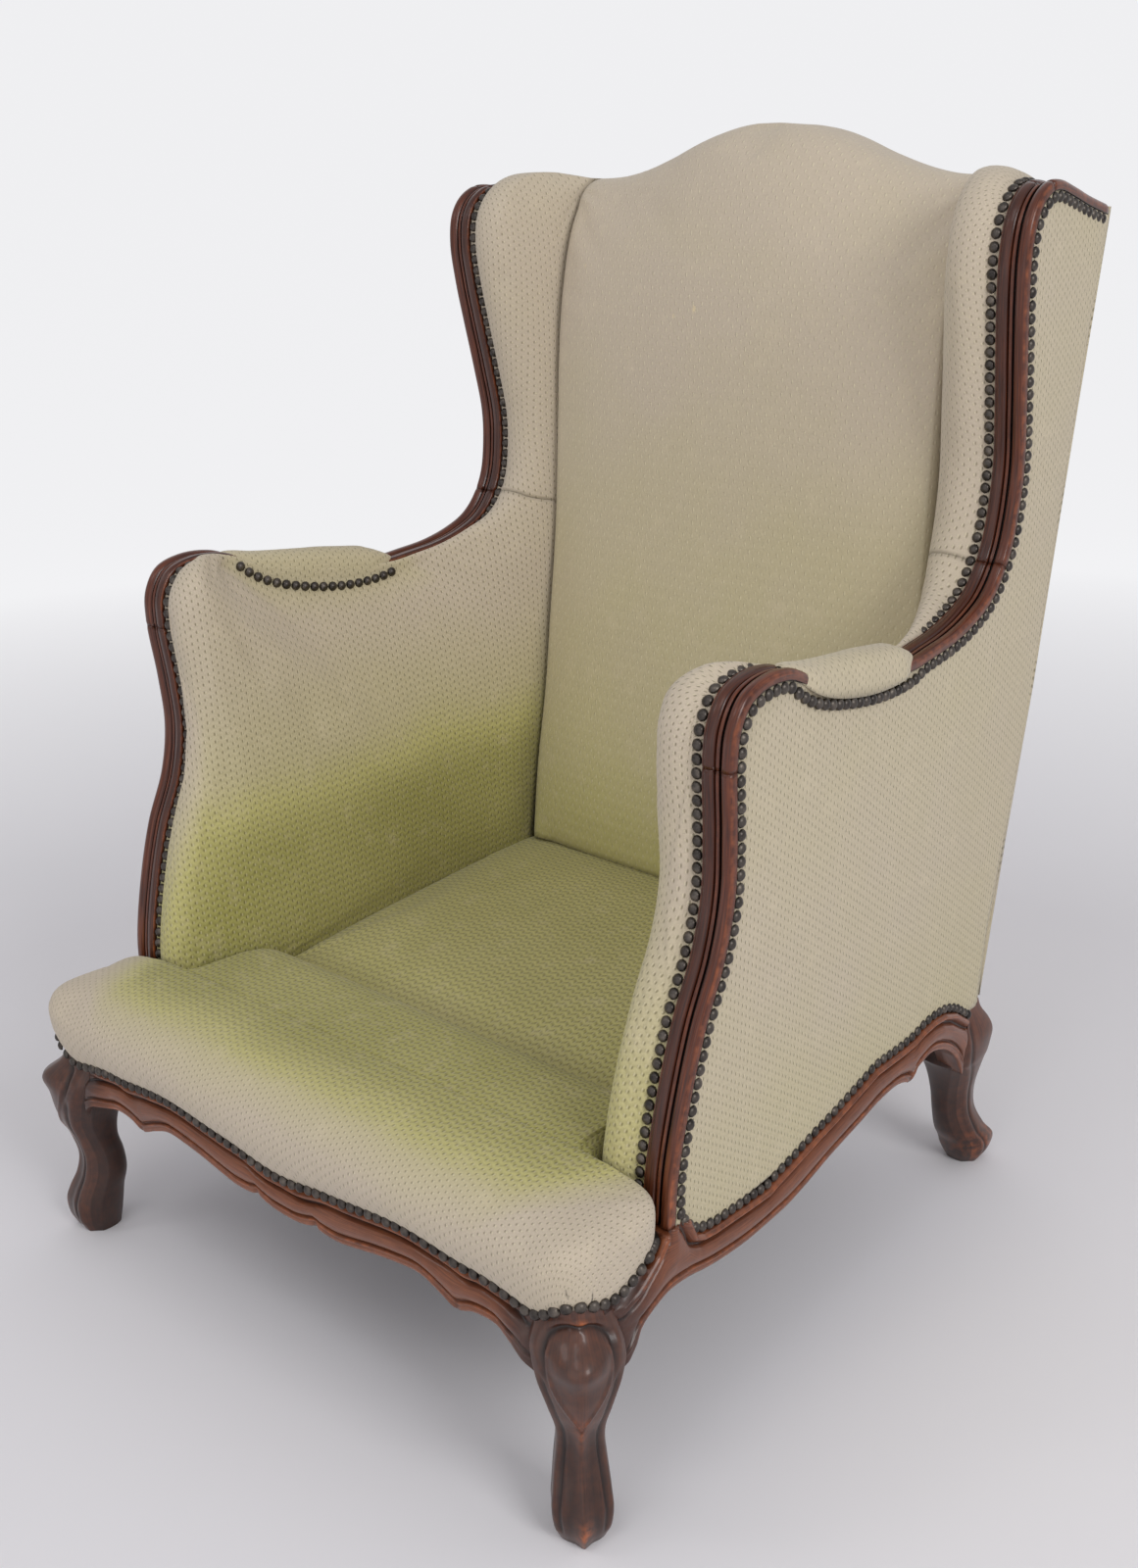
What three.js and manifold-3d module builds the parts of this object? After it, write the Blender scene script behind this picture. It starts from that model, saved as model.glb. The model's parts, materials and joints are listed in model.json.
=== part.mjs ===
// Wing armchair with a carved show-wood frame, close-nailed upholstery and a camel back.
// Lengths are millimetres. +Z is up, the chair faces -Y and its right side is +X.
// The origin ends up on the floor, under the middle of the whole chair.
import * as THREE from 'three';
import { mergeVertices } from 'three/addons/utils/BufferGeometryUtils.js';
import Module from 'manifold-3d';

const wasm = await Module();
wasm.setup();

// Gap between pieces that touch
const clearance = 0.3;

// Heights
const shoulderHeight = 1030;
const camelRise = 50;
const camelHeight = shoulderHeight + camelRise;
const armHeight = 681;
const seatFrameTop = 242;
const frontFrameDrop = 20;
const frontFrameTop = seatFrameTop - frontFrameDrop;
const deckRise = 47;
const deckHeight = seatFrameTop + deckRise;
const lipThickness = 63;
const lipHeight = frontFrameTop + lipThickness;

// Depths, measured from the middle of the floor plan
const postFootDepth = -246;
const wingFootDepth = 262;
const wingRearDepth = 419;
const railFrontDepth = -350;
const lipFrontDepth = -370;
const lipSeamDepth = -135;

// The side frames stand on two slanting planes, closer together behind and leaning a little outward
const sideHalfWidth = 331.7;
const sideToeShare = 0.0699;
const sideLeanShare = 0.0432;

// Fabric covers let into the wood
const coverInset = 1.5;
const coverThickness = 5;

// Show-wood moulding of the posts, arms and wings
const ribbonWidth = 30;
const ribbonDepth = 26;
const mouldingDepth = 9;
const postLengthShare = 0.276;
const armLengthShare = 0.648;
const stileLengthShare = 0.905;
const stepLength = 36;

// Seat frame
const railThickness = 28;
const railBase = 165;
const frontRailBase = 157;
const backRailBase = 176;
const sideRailFront = -300;
const sideRailRear = 292;
const frontRailInset = 31.7;
const frontRailHalfLength = sideHalfWidth - frontRailInset;
const backRailInset = 65.7;
const backRailHalfLength = sideHalfWidth - backRailInset;
const backRailThickness = 24;
const tenonLength = 22;
const tenonThickness = 10;
const tenonHeight = 26;
const tenonBottom = 186;
const blockLeg = 46;
const blockHeight = 34;

// Legs
const frontFootBeyondRail = 57;
const frontFootAhead = 52;
const rearFootBeyondRail = 32;
const rearFootBehind = 86;
const frontFootX = frontRailHalfLength + frontFootBeyondRail;
const frontFootY = sideRailFront - frontFootAhead;
const rearFootX = backRailHalfLength + rearFootBeyondRail;
const rearFootY = sideRailRear + rearFootBehind;
const legSquare = 36;
const kneeHeight = 166;
const legChamfer = 5;

// Back frame
const rearPostSquare = 30;
const rearBlockHeight = 214;
const crestDepth = 72;
const crestCover = 22;
const shoulderDrop = 58;
const tackRailHeight = 26;
const backTackBottom = 299;
const sideTackBottom = 262;

// Padding
const creaseInset = 85.7;
const creaseHalfWidth = sideHalfWidth - creaseInset;
const deckInset = 71.7;
const deckHalfWidth = sideHalfWidth - deckInset;
const deckRearDepth = 280;
const deckCrown = 6;
const rollWidth = 50;
const rollDepth = 18;
const backCrown = 12;
const backCornerEase = 12;
const crestRound = 24;
const backTurnIn = 3;
const backCoverBottom = 224;
const lipBeyondSide = 29.3;
const lipHalfWidth = sideHalfWidth + lipBeyondSide;

// Arm top pads
const armPadFrontShare = 0.372;
const armPadRearShare = 0.531;
const armPadThickness = 19;
const armPadDrop = 17;
const armPadFlank = 3.6;
const armPadInnerFlank = 7;

// Seat suspension
const webWidth = 50;
const webThickness = 2;
const webDrop = 36;
const webHeight = seatFrameTop - webDrop;
const strapsEachWay = 3;
const springSpacing = 150;
const springRows = 2;
const springRearDepth = 110;
const springRadius = 38;
const springWire = 4;
const springTurns = 3;
const springSides = 3;
const springStepsPerTurn = 8;
const canvasThickness = 2;
const canvasRise = 15;
const dustCoverDrop = 3;
const dustCoverHeight = webHeight - dustCoverDrop;
const dustCoverThickness = 1.2;

// Rows of upholstery nails
const nailWidth = 10.6;
const nailHeight = 3.4;

const showWood = { color: 0x4a2a20, roughness: 0.38, metalness: 0 };
const frameWood = { color: 0xb08d62, roughness: 0.8, metalness: 0 };
const fabric = { color: 0xbdb393, roughness: 0.9, metalness: 0 };
const deckFabric = { color: 0x8f8d4e, roughness: 0.9, metalness: 0 };
const bronze = { color: 0x4c4740, roughness: 0.4, metalness: 0.85 };
const steel = { color: 0x7a7c80, roughness: 0.45, metalness: 0.9 };
const jute = { color: 0xa58d62, roughness: 0.95, metalness: 0 };
const blackCloth = { color: 0x1d1d1f, roughness: 0.95, metalness: 0 };

const { lerp, clamp, smoothstep } = THREE.MathUtils;
const range = (count) => Array.from({ length: count }, (_, i) => i);
const evenly = (count) => range(count + 1).map((i) => i / count);

// Smooth curve through points written as [depth, height]
function curveThrough(points) {
  return new THREE.CatmullRomCurve3(points.map(([y, z]) => new THREE.Vector3(0, y, z)));
}

// Value at x on the broken line through knots written as [x, value]
function valueAt(knots, x) {
  const found = knots.findIndex((knot) => knot[0] >= x);
  const next = clamp(found < 0 ? knots.length - 1 : found, 1, knots.length - 1);
  const [a, b] = [knots[next - 1], knots[next]];
  return lerp(a[1], b[1], clamp((x - a[0]) / (b[0] - a[0]), 0, 1));
}

// Geometry from points and triangles, turned so that its faces point outwards
function closedGeometry(points, triangles) {
  const at = points.map((p) => new THREE.Vector3(...p));
  const volume = triangles.reduce((sum, [a, b, c]) => sum + at[a].dot(at[b].clone().cross(at[c])), 0);
  const faces = volume < 0 ? triangles.map(([a, b, c]) => [a, c, b]) : triangles;
  const geometry = new THREE.BufferGeometry();
  geometry.setAttribute('position', new THREE.Float32BufferAttribute(points.flat(), 3));
  geometry.setIndex(faces.flat());
  return geometry;
}

// Triangles that fill an outline of [u, v] points, wound the way the outline runs
function capOf(outline) {
  const area = THREE.ShapeUtils.area(outline.map(([u, v]) => new THREE.Vector2(u, v)));
  const order = range(outline.length).map((i) => (area < 0 ? outline.length - 1 - i : i));
  const contour = order.map((i) => new THREE.Vector2(...outline[i]));
  const filled = THREE.ShapeUtils.triangulateShape(contour, []).map((t) => t.map((i) => order[i]));
  return area < 0 ? filled.map(([a, b, c]) => [a, c, b]) : filled;
}

// Solid skinned over rings of equally many points, closed by the cap's triangles at both ends
function loft(rings, cap) {
  const n = rings[0].length;
  const last = (rings.length - 1) * n;
  const triangles = [];
  for (let r = 0; r + 1 < rings.length; r++) {
    for (let i = 0; i < n; i++) {
      const a = r * n + i;
      const b = r * n + ((i + 1) % n);
      triangles.push([a, b, b + n], [a, b + n, a + n]);
    }
  }
  for (const [a, b, c] of cap) triangles.push([a, c, b], [a + last, b + last, c + last]);
  return closedGeometry(rings.flat(), triangles);
}

// Plate with an outline of [u, v] points between two levels, placed by a function of u, v and level
function plate(outline, near, far, place) {
  return loft([near, far].map((level) => outline.map(([u, v]) => place(u, v, level))), capOf(outline));
}

// Closed sheet between two surfaces, each a function of a column's and a row's share that gives [x, y, z]
function slab(front, back, columns, rows) {
  const across = columns.length;
  const sheet = (surface) => rows.flatMap((v) => columns.map((u) => surface(u, v)));
  const points = [...sheet(front), ...sheet(back)];
  const half = points.length / 2;
  const last = (rows.length - 1) * across;
  const triangles = [];
  for (let j = 0; j + 1 < rows.length; j++) {
    for (let i = 0; i + 1 < across; i++) {
      const a = j * across + i;
      const [b, c, d] = [a + 1, a + 1 + across, a + across];
      triangles.push([a, b, c], [a, c, d], [a + half, c + half, b + half], [a + half, d + half, c + half]);
    }
  }
  const edge = [
    ...range(across),
    ...range(rows.length - 1).map((j) => (j + 2) * across - 1),
    ...range(across - 1).map((i) => last + across - 2 - i),
    ...range(rows.length - 2).map((j) => last - (j + 1) * across),
  ];
  edge.forEach((a, i) => {
    const b = edge[(i + 1) % edge.length];
    triangles.push([b, a, a + half], [b, a + half, b + half]);
  });
  return closedGeometry(points, triangles);
}

// Block between two corners
function block([x0, y0, z0], [x1, y1, z1]) {
  return plate([[x0, y0], [x1, y0], [x1, y1], [x0, y1]], z0, z1, (x, y, z) => [x, y, z]);
}

function toSolid(geometry) {
  const bare = geometry.clone();
  bare.deleteAttribute('normal');
  bare.deleteAttribute('uv');
  const merged = mergeVertices(bare, clearance / 100);
  return new wasm.Manifold(new wasm.Mesh({
    numProp: 3,
    vertProperties: merged.getAttribute('position').array,
    triVerts: new Uint32Array(merged.getIndex().array),
  }));
}

function fromSolid(solid) {
  const mesh = solid.getMesh();
  const geometry = new THREE.BufferGeometry();
  geometry.setAttribute('position', new THREE.BufferAttribute(mesh.vertProperties, 3));
  geometry.setIndex(new THREE.BufferAttribute(mesh.triVerts, 1));
  return geometry;
}

const joined = (...parts) => fromSolid(parts.map(toSolid).reduce((a, b) => a.add(b)));
const cutBy = (body, ...tools) =>
  fromSolid(tools.map(toSolid).reduce((a, b) => a.subtract(b), toSolid(body)));

const chair = new THREE.Group();

function addPiece(name, geometry, finish) {
  const flat = geometry.index ? geometry.toNonIndexed() : geometry;
  flat.computeVertexNormals();
  const mesh = new THREE.Mesh(flat, new THREE.MeshStandardMaterial(finish));
  mesh.name = name;
  chair.add(mesh);
  return mesh;
}

// One piece for each side: the left one is the mirror image of the right one
function addPair(name, geometry, finish) {
  addPiece(`${name}_right`, geometry, finish);
  addPiece(`${name}_left`, geometry, finish).scale.x = -1;
}

// Side frame: places on it are given by their inset from its outer face, their depth and their height
const outerX = (y, z) => sideHalfWidth - sideToeShare * y + sideLeanShare * z;
const onSide = (inset, y, z) => [outerX(y, z) - inset, y, z];
const rebate = coverInset + coverThickness + clearance;

const postFootHeight = seatFrameTop + clearance;
const armRun = wingFootDepth - postFootDepth;
const armRise = armHeight - postFootHeight;
const wingRun = wingRearDepth - wingFootDepth;
const wingRise = shoulderHeight - armHeight;

// Front line of the moulding: shares of the arm's run and rise, then shares of the wing's
const armLineShares = [
  [0, 0], [0.004, 0.109], [0.028, 0.246], [0.065, 0.387], [0.11, 0.503], [0.13, 0.61], [0.128, 0.724],
  [0.118, 0.861], [0.124, 0.927], [0.154, 0.979], [0.209, 1], [0.28, 0.996], [0.366, 0.957], [0.484, 0.929],
  [0.602, 0.909], [0.691, 0.902], [0.76, 0.909], [0.839, 0.92], [0.907, 0.941], [0.957, 0.968],
  [0.992, 1.007],
];
const wingLineShares = [
  [0.064, 0.083], [0.108, 0.183], [0.115, 0.284], [0.064, 0.427], [0, 0.573], [-0.051, 0.699],
  [-0.076, 0.814], [-0.045, 0.9], [0.038, 0.954], [0.166, 0.986], [0.29, 0.99], [0.497, 0.971],
  [0.72, 0.946], [1, 0.92],
];
const sideLine = curveThrough([
  ...armLineShares.map(([s, t]) => [postFootDepth + s * armRun, postFootHeight + t * armRise]),
  ...wingLineShares.map(([s, t]) => [wingFootDepth + s * wingRun, armHeight + t * wingRise]),
]);
const lineLength = sideLine.getLength();

// Point at a share of the side line, moved behind the wood's face by a depth square to the line,
// but not below the foot of the post or behind the end of the wing
function behindFace(share, depth) {
  const p = sideLine.getPointAt(share);
  const t = sideLine.getTangentAt(share);
  return [
    Math.min(p.y + depth * t.z, wingRearDepth),
    Math.max(p.z - depth * t.y, postFootHeight),
  ];
}

// Shares of the side line from one to another, in steps of about a length
function stepsAlong(from, to, step = stepLength) {
  return evenly(Math.ceil(((to - from) * lineLength) / step)).map((k) => lerp(from, to, k));
}

// Rear edge of the sides: its shares of the rake's rise and run, from the seat frame to the shoulder
const rearEdgeBottom = 314;
const rearEdgeTop = 421;
const rakeStart = 225;
const rearEdgeShares = [
  [0, 0], [0.0907, 0.0467], [0.205, 0.215], [0.404, 0.467], [0.615, 0.654], [0.811, 0.841], [0.959, 1],
  [1, 1],
];
const rakeRise = shoulderHeight - rakeStart;
const rakeHeights = rearEdgeShares.map(([t]) => rakeStart + t * rakeRise);
const rakeShare = (z) => valueAt(rearEdgeShares, (z - rakeStart) / rakeRise);
const rearEdge = (z) => lerp(rearEdgeBottom, rearEdgeTop, rakeShare(z));

// Section of the moulding: two beads with a groove between them, on a narrower tacking body
const faceShares = [
  [0, 1], [0, 0.35], [0.16, 0], [0.4, 0], [0.5, 0.45], [0.6, 0], [0.84, 0], [1, 0.35], [1, 1],
];
const ribbonSection = [
  ...faceShares.map(([s, t]) => [s * ribbonWidth, t * mouldingDepth]),
  [ribbonWidth - rebate, mouldingDepth],
  [ribbonWidth - rebate, ribbonDepth],
  [rebate, ribbonDepth],
  [rebate, mouldingDepth],
];

// Solid that follows the side line, from a section of [inset, depth] points
function sweep(section, shares) {
  const ring = (share) => section.map(([inset, depth]) => onSide(inset, ...behindFace(share, depth)));
  return loft(shares.map(ring), capOf(section));
}

const jointGap = clearance / 2 / lineLength;
function ribbon(from, to) {
  return sweep(ribbonSection, stepsAlong(from > 0 ? from + jointGap : from, to < 1 ? to - jointGap : to));
}

const jointShares = [0, postLengthShare, armLengthShare, stileLengthShare, 1];
const lineShares = jointShares.slice(1).flatMap((to, i) => stepsAlong(jointShares[i], to).slice(i ? 1 : 0));

addPair('arm_post', ribbon(0, postLengthShare), showWood);
addPair('arm_rail', ribbon(postLengthShare, armLengthShare), showWood);
addPair('wing_stile', ribbon(armLengthShare, stileLengthShare), showWood);
addPair('wing_top_rail', ribbon(stileLengthShare, 1), showWood);

// Side rails: a carved face below a recess for the cover; the top carries the arm and the seat canvas.
// Shares of the rail's run and of its height; the face is full height where the post stands on it.
const railRun = sideRailRear - sideRailFront;
const railRise = seatFrameTop - railBase;
const postFootShares = [0.083, 0.139];
const sideLowerShares = [
  [0, -0.09], [0.027, 0.104], [0.059, 0.195], [0.101, 0.26], [0.144, 0.234], [0.194, 0.143], [0.253, 0.065],
  [0.321, 0.026], [0.405, 0.052], [0.529, 0.221], [0.632, 0.364], [0.72, 0.455], [0.753, 0.429],
  [0.785, 0.325], [0.811, 0.416], [0.84, 0.494], [0.87, 0.494], [0.899, 0.429], [0.932, 0.299],
  [0.966, 0.078], [1, -0.325],
];
const sideNailShares = [
  [0.149, 0.766], [0.201, 0.61], [0.301, 0.52], [0.405, 0.584], [0.532, 0.753], [0.659, 0.935],
  [0.743, 0.922], [0.861, 0.987], [0.929, 0.883], [1, 0.545],
];
const onRail = ([s, t]) => [sideRailFront + s * railRun, railBase + t * railRise];
const sideLower = sideLowerShares.map(onRail);
const sideNailLine = sideNailShares.map(onRail);
const [postFront, postRear] = postFootShares.map((s) => sideRailFront + s * railRun);
const railOutline = [
  ...sideLower, [sideRailRear, seatFrameTop],
  [postFront, seatFrameTop], [postFront, frontFrameTop], [sideRailFront, frontFrameTop],
];
const beyond = (value) => value + clearance;
const recessEnd = sideNailLine[sideNailLine.length - 1][1];
const coverRecess = [
  [postRear, beyond(seatFrameTop)], [postRear, seatFrameTop], ...sideNailLine.slice(0, -1),
  [beyond(sideRailRear), recessEnd], [beyond(sideRailRear), beyond(seatFrameTop)],
];

// Tenon on the side plane, from the rail's end, larger all round by a fit
function sideTenon(end, direction, fit) {
  const y0 = end - direction * tenonLength;
  const y1 = end + direction * (tenonLength + fit);
  const inset = (railThickness - tenonThickness) / 2;
  const [z0, z1] = [tenonBottom - fit, tenonBottom + tenonHeight + fit];
  return plate([[y0, z0], [y1, z0], [y1, z1], [y0, z1]], inset - fit, inset + tenonThickness + fit,
    (y, z, across) => onSide(across, y, z));
}

const onSidePlate = (y, z, inset) => onSide(inset, y, z);
addPair('side_rail', cutBy(joined(
  plate(railOutline, 0, railThickness, onSidePlate),
  sideTenon(sideRailFront, -1, 0),
  sideTenon(sideRailRear, 1, 0),
), plate(coverRecess, -clearance, rebate, onSidePlate)), showWood);

// Front rail: serpentine lower edge, as shares of its half length and of its height
const frontLowerShares = [
  [0, 0], [0.067, 0.031], [0.137, 0.115], [0.233, 0.069], [0.323, 0.138], [0.403, 0.215], [0.49, 0.277],
  [0.583, 0.308], [0.657, 0.2], [0.733, 0.069], [0.79, 0.169], [0.85, 0.2], [0.913, 0.123], [0.967, 0],
  [1, -0.108],
];
const frontRise = frontFrameTop - frontRailBase;
const frontLower = frontLowerShares.map(([s, t]) => [s * frontRailHalfLength, frontRailBase + t * frontRise]);
const frontOutline = [
  ...frontLower.slice(1).reverse().map(([x, z]) => [-x, z]), ...frontLower,
  [frontRailHalfLength, frontFrameTop], [-frontRailHalfLength, frontFrameTop],
];

// Tenon along X at both ends of the front or back rail
function crossTenons(halfLength, middleDepth, fit) {
  const reach = halfLength + tenonLength + fit;
  const half = tenonThickness / 2 + fit;
  return block(
    [-reach, middleDepth - half, tenonBottom - fit],
    [reach, middleDepth + half, tenonBottom + tenonHeight + fit],
  );
}

const frontRailRear = railFrontDepth + railThickness;
const frontTenonDepth = railFrontDepth + railThickness / 2;
addPiece('front_rail', joined(
  plate(frontOutline, railFrontDepth, frontRailRear, (x, z, y) => [x, y, z]),
  crossTenons(frontRailHalfLength, frontTenonDepth, 0),
), showWood);

const backRailRear = rearEdgeBottom - clearance;
const backRailFront = backRailRear - backRailThickness;
const backTenonDepth = backRailRear - backRailThickness / 2;
addPiece('back_rail', joined(
  block([-backRailHalfLength, backRailFront, backRailBase], [backRailHalfLength, backRailRear, seatFrameTop]),
  crossTenons(backRailHalfLength, backTenonDepth, 0),
), showWood);

// Square ring of a leg or post between its outer and inner corners, with its edges taken off
function squareRing([xo, yo], [xi, yi], z, ease) {
  const [dx, dy] = [Math.sign(xi - xo) * ease, Math.sign(yi - yo) * ease];
  return [
    [xo + dx, yo, z], [xi - dx, yo, z], [xi, yo + dy, z], [xi, yi - dy, z],
    [xi - dx, yi, z], [xo + dx, yi, z], [xo, yi - dy, z], [xo, yo + dy, z],
  ];
}
const squareCap = capOf(squareRing([1, 1], [0, 0], 0, 0.25));

// Cabriole front legs: shares of the knee's height, of the square for how far the corner stands out, and
// of the square for the section's side. The upper rows close on the rails' ends.
const frontLegShares = [
  [0, 0, 0.8], [0.085, 0.14, 0.98], [0.193, 0.17, 1.07], [0.27, 0.08, 1.05], [0.39, -0.11, 0.95],
  [0.51, -0.18, 0.92], [0.63, -0.08, 1.06], [0.76, 0.11, 1.31], [0.83, 0.19, 1.5], [0.904, 0.24, 2],
  [1, 0.25, 2], [1.1, 0.14, 2], [1.18, -0.06, 2], [1.24, -0.14, 2],
];
const frontJoint = frontRailHalfLength + clearance;
const sideJoint = sideRailFront - clearance;
function frontLegRing([rise, stand, side], height = rise * kneeHeight) {
  const xo = frontFootX + stand * legSquare;
  const yo = frontFootY - stand * legSquare;
  const xi = Math.max(frontJoint, xo - side * legSquare);
  const yi = Math.min(sideJoint, yo + side * legSquare);
  return squareRing([xo, yo], [xi, yi], height, legChamfer);
}
const frontLegRings = [
  ...frontLegShares.map((row) => frontLegRing(row)),
  frontLegRing(frontLegShares[frontLegShares.length - 1], frontFrameTop),
];
addPair('front_leg', cutBy(
  loft(frontLegRings, squareCap),
  crossTenons(frontRailHalfLength, frontTenonDepth, clearance),
  sideTenon(sideRailFront, -1, clearance),
), showWood);

// Rear posts: a cabriole foot below a joint block, then an upright that leans back inside the upholstery.
// Shares of the knee's height, of the square for the corner's place in X and Y, and for the side.
const rearLegShares = [
  [0, 0, 0, 0.72], [0.08, 0.19, 0.14, 1.03], [0.17, 0.28, 0.14, 1.19], [0.27, 0.14, -0.22, 1.11],
  [0.42, -0.03, -0.56, 0.97], [0.57, 0, -0.69, 0.97], [0.72, 0.19, -0.78, 1.14], [0.83, 0.36, -0.81, 1.39],
  [0.904, 0.47, -0.81, 2], [1.03, 0.53, -0.86, 2], [1.15, 0.44, -1.06, 2], [1.24, 0.36, -1.28, 2],
];
const backJoint = backRailHalfLength + clearance;
const rearJoint = sideRailRear + clearance;
function rearLegRing([rise, standX, standY, side], height = rise * kneeHeight) {
  const [xo, yo] = [rearFootX + standX * legSquare, rearFootY + standY * legSquare];
  const xi = Math.max(backJoint, xo - side * legSquare);
  const yi = rise > 0.87 ? rearJoint : yo - side * legSquare;
  return squareRing([xo, yo], [xi, yi], height, legChamfer);
}
const uprightTop = behindFace(1, ribbonDepth)[1] - clearance;
const uprightFront = (z) => rearEdge(z) - clearance - rearPostSquare;
function uprightRing(z, front) {
  const yo = rearEdge(z) - clearance;
  const xo = outerX(yo, z) - rebate;
  return squareRing([xo, yo], [xo - rearPostSquare, front], z, legChamfer);
}
const uprightHeights = rakeHeights.filter((z) => z > postFootHeight && z < uprightTop);
const rearPostRings = [
  ...rearLegShares.map((row) => rearLegRing(row)),
  rearLegRing(rearLegShares[rearLegShares.length - 1], rearBlockHeight),
  ...[frontFrameTop, seatFrameTop].map((z) => uprightRing(z, rearJoint)),
  ...[postFootHeight, ...uprightHeights, uprightTop].map((z) => uprightRing(z, uprightFront(z))),
];
addPair('rear_post', cutBy(
  loft(rearPostRings, squareCap),
  crossTenons(backRailHalfLength, backTenonDepth, clearance),
  sideTenon(sideRailRear, 1, clearance),
), showWood);

// Glue blocks in the four corners of the seat frame; the front ones are notched round the legs
const blockTop = frontFrameTop - clearance;
const blockBottom = blockTop - blockHeight;
const innerFace = (y, z) => outerX(y, z) - railThickness - clearance;
const frontBlockY = frontRailRear + clearance;
const frontBlockX = innerFace(sideJoint, blockBottom);
const notch = clearance + clearance;
const frontBlock = [
  [frontJoint - blockLeg, frontBlockY], [frontJoint - notch, frontBlockY],
  [frontJoint - notch, sideJoint + notch],
  [frontBlockX, sideJoint + notch],
  [innerFace(sideJoint + blockLeg, blockBottom), sideJoint + blockLeg],
];
const rearBlockY = backRailFront - clearance;
const rearBlockX = innerFace(rearBlockY, blockBottom);
const rearBlock = [
  [rearBlockX, rearBlockY], [rearBlockX - blockLeg, rearBlockY],
  [innerFace(rearBlockY - blockLeg, blockBottom), rearBlockY - blockLeg],
];
const upright = (x, y, z) => [x, y, z];
addPair('front_corner_block', plate(frontBlock, blockBottom, blockTop, upright), frameWood);
addPair('rear_corner_block', plate(rearBlock, blockBottom, blockTop, upright), frameWood);

// Camel back: half-width shares and height shares between the shoulder and the crown
const camelShares = [
  [0, 1], [0.14, 0.98], [0.25, 0.88], [0.35, 0.72], [0.5, 0.42], [0.68, 0.14], [0.82, 0.02], [1, 0],
];
const camelTop = (x) => shoulderHeight + camelRise * valueAt(camelShares, Math.abs(x) / creaseHalfWidth);
const mirrored = (half) => [...half.slice(1).reverse().map(([x, z]) => [-x, z]), ...half];

// Crest rail and lower tacking rail between the rear posts
const betweenPosts = (z) => outerX(rearEdge(z), z) - rebate - rearPostSquare - clearance;
const onRake = (x, z, forward) => [x, rearEdge(z) - clearance - forward, z];
const crestLow = shoulderHeight - shoulderDrop - crestDepth / 2;
const crestShoulder = shoulderHeight - shoulderDrop;
const crestEdge = creaseHalfWidth - backCornerEase;
const crestEnd = betweenPosts(crestLow);
const crestTopLine = [...camelShares.slice(0, -1).map(([s]) => s * creaseHalfWidth), crestEdge]
  .map((x) => [x, camelTop(x) - crestCover]);
const crestTop = mirrored([...crestTopLine, [crestEdge, crestShoulder], [crestEnd, crestShoulder]]);
addPiece('crest_rail', plate(
  [...crestTop, [crestEnd, crestLow], [-crestEnd, crestLow]], 0, rearPostSquare, onRake), frameWood);

const backTackTop = backTackBottom + tackRailHeight;
const backTackEnd = betweenPosts(backTackBottom);
addPiece('back_tack_rail', plate(
  [[-backTackEnd, backTackBottom], [backTackEnd, backTackBottom],
    [backTackEnd, backTackTop], [-backTackEnd, backTackTop]], 0, rearPostSquare, onRake), frameWood);

// Side tacking rails above the seat rails, and the rails that tie the arms to the rear posts
const lowTackShares = [0.03, 0.05];
const lowTack = [
  ...lowTackShares.map((share) => behindFace(share, ribbonDepth + notch)),
  ...[sideTackBottom + tackRailHeight, sideTackBottom].map((z) => [uprightFront(z) - clearance, z]),
];
addPair('side_tack_rail', plate(lowTack, rebate, ribbonWidth, onSidePlate), frameWood);
const armTieShares = [0.62, 0.68];
const armTieFront = lineShares.filter((share) => share > armTieShares[0] && share < armTieShares[1])
  .map((share) => behindFace(share, ribbonDepth + clearance));
const armTieRear = armTieFront.map(([, z]) => [uprightFront(z) - clearance, z]).reverse();
addPair('arm_tie_rail', plate([...armTieFront, ...armTieRear], rebate, ribbonWidth, onSidePlate), frameWood);

// Webbing straps, coil springs and the canvas over them
const strapPlaces = range(strapsEachWay).map((i) => (i - (strapsEachWay - 1) / 2) * springSpacing);
const crossPlaces = range(strapsEachWay).map((i) => springRearDepth - i * springSpacing);
const crossHeight = webHeight + webThickness + clearance;
strapPlaces.forEach((x, i) => {
  addPiece(`long_web_${i + 1}`, block(
    [x - webWidth / 2, frontRailRear + clearance, webHeight],
    [x + webWidth / 2, backRailFront - clearance, webHeight + webThickness],
  ), jute);
});
crossPlaces.forEach((y, i) => {
  const [near, far] = [y - webWidth / 2, y + webWidth / 2];
  const [a, b] = [innerFace(near, webHeight), innerFace(far, webHeight)];
  addPiece(`cross_web_${i + 1}`, plate(
    [[-a, near], [a, near], [b, far], [-b, far]], crossHeight, crossHeight + webThickness, upright,
  ), jute);
});

// Canvas: lies on the rails at its edges, rises over the springs and is narrower between the rear posts
const canvasFront = lipSeamDepth + clearance;
const canvasRear = backRailRear - coverThickness;
const canvasEdge = seatFrameTop + clearance;
const canvasTop = canvasEdge + canvasThickness;
const springReach = springRadius + springWire + coverThickness;
const canvasNarrow = uprightFront(seatFrameTop) - clearance;
const canvasDomeEnd = creaseHalfWidth - coverThickness;
const canvasHeightX = [[0, 1], [springSpacing + springReach, 1], [canvasDomeEnd, 0]];
const canvasHeightY = [[canvasFront, 1], [springRearDepth + springReach, 1], [canvasDomeEnd, 0]];
const canvasLift = (x, y) => canvasRise * valueAt(canvasHeightX, Math.abs(x)) * valueAt(canvasHeightY, y);
const canvasHalf = (y) =>
  (y < canvasNarrow ? innerFace(y, seatFrameTop) + tenonThickness : backRailHalfLength);
const canvasRows = [
  canvasFront, springRearDepth - springSpacing / 2, springRearDepth + springReach, canvasDomeEnd,
  canvasNarrow - coverThickness, canvasNarrow + clearance, canvasRear,
];
const canvasColumns = [canvasDomeEnd, springSpacing + springReach, springSpacing / 2];
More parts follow.
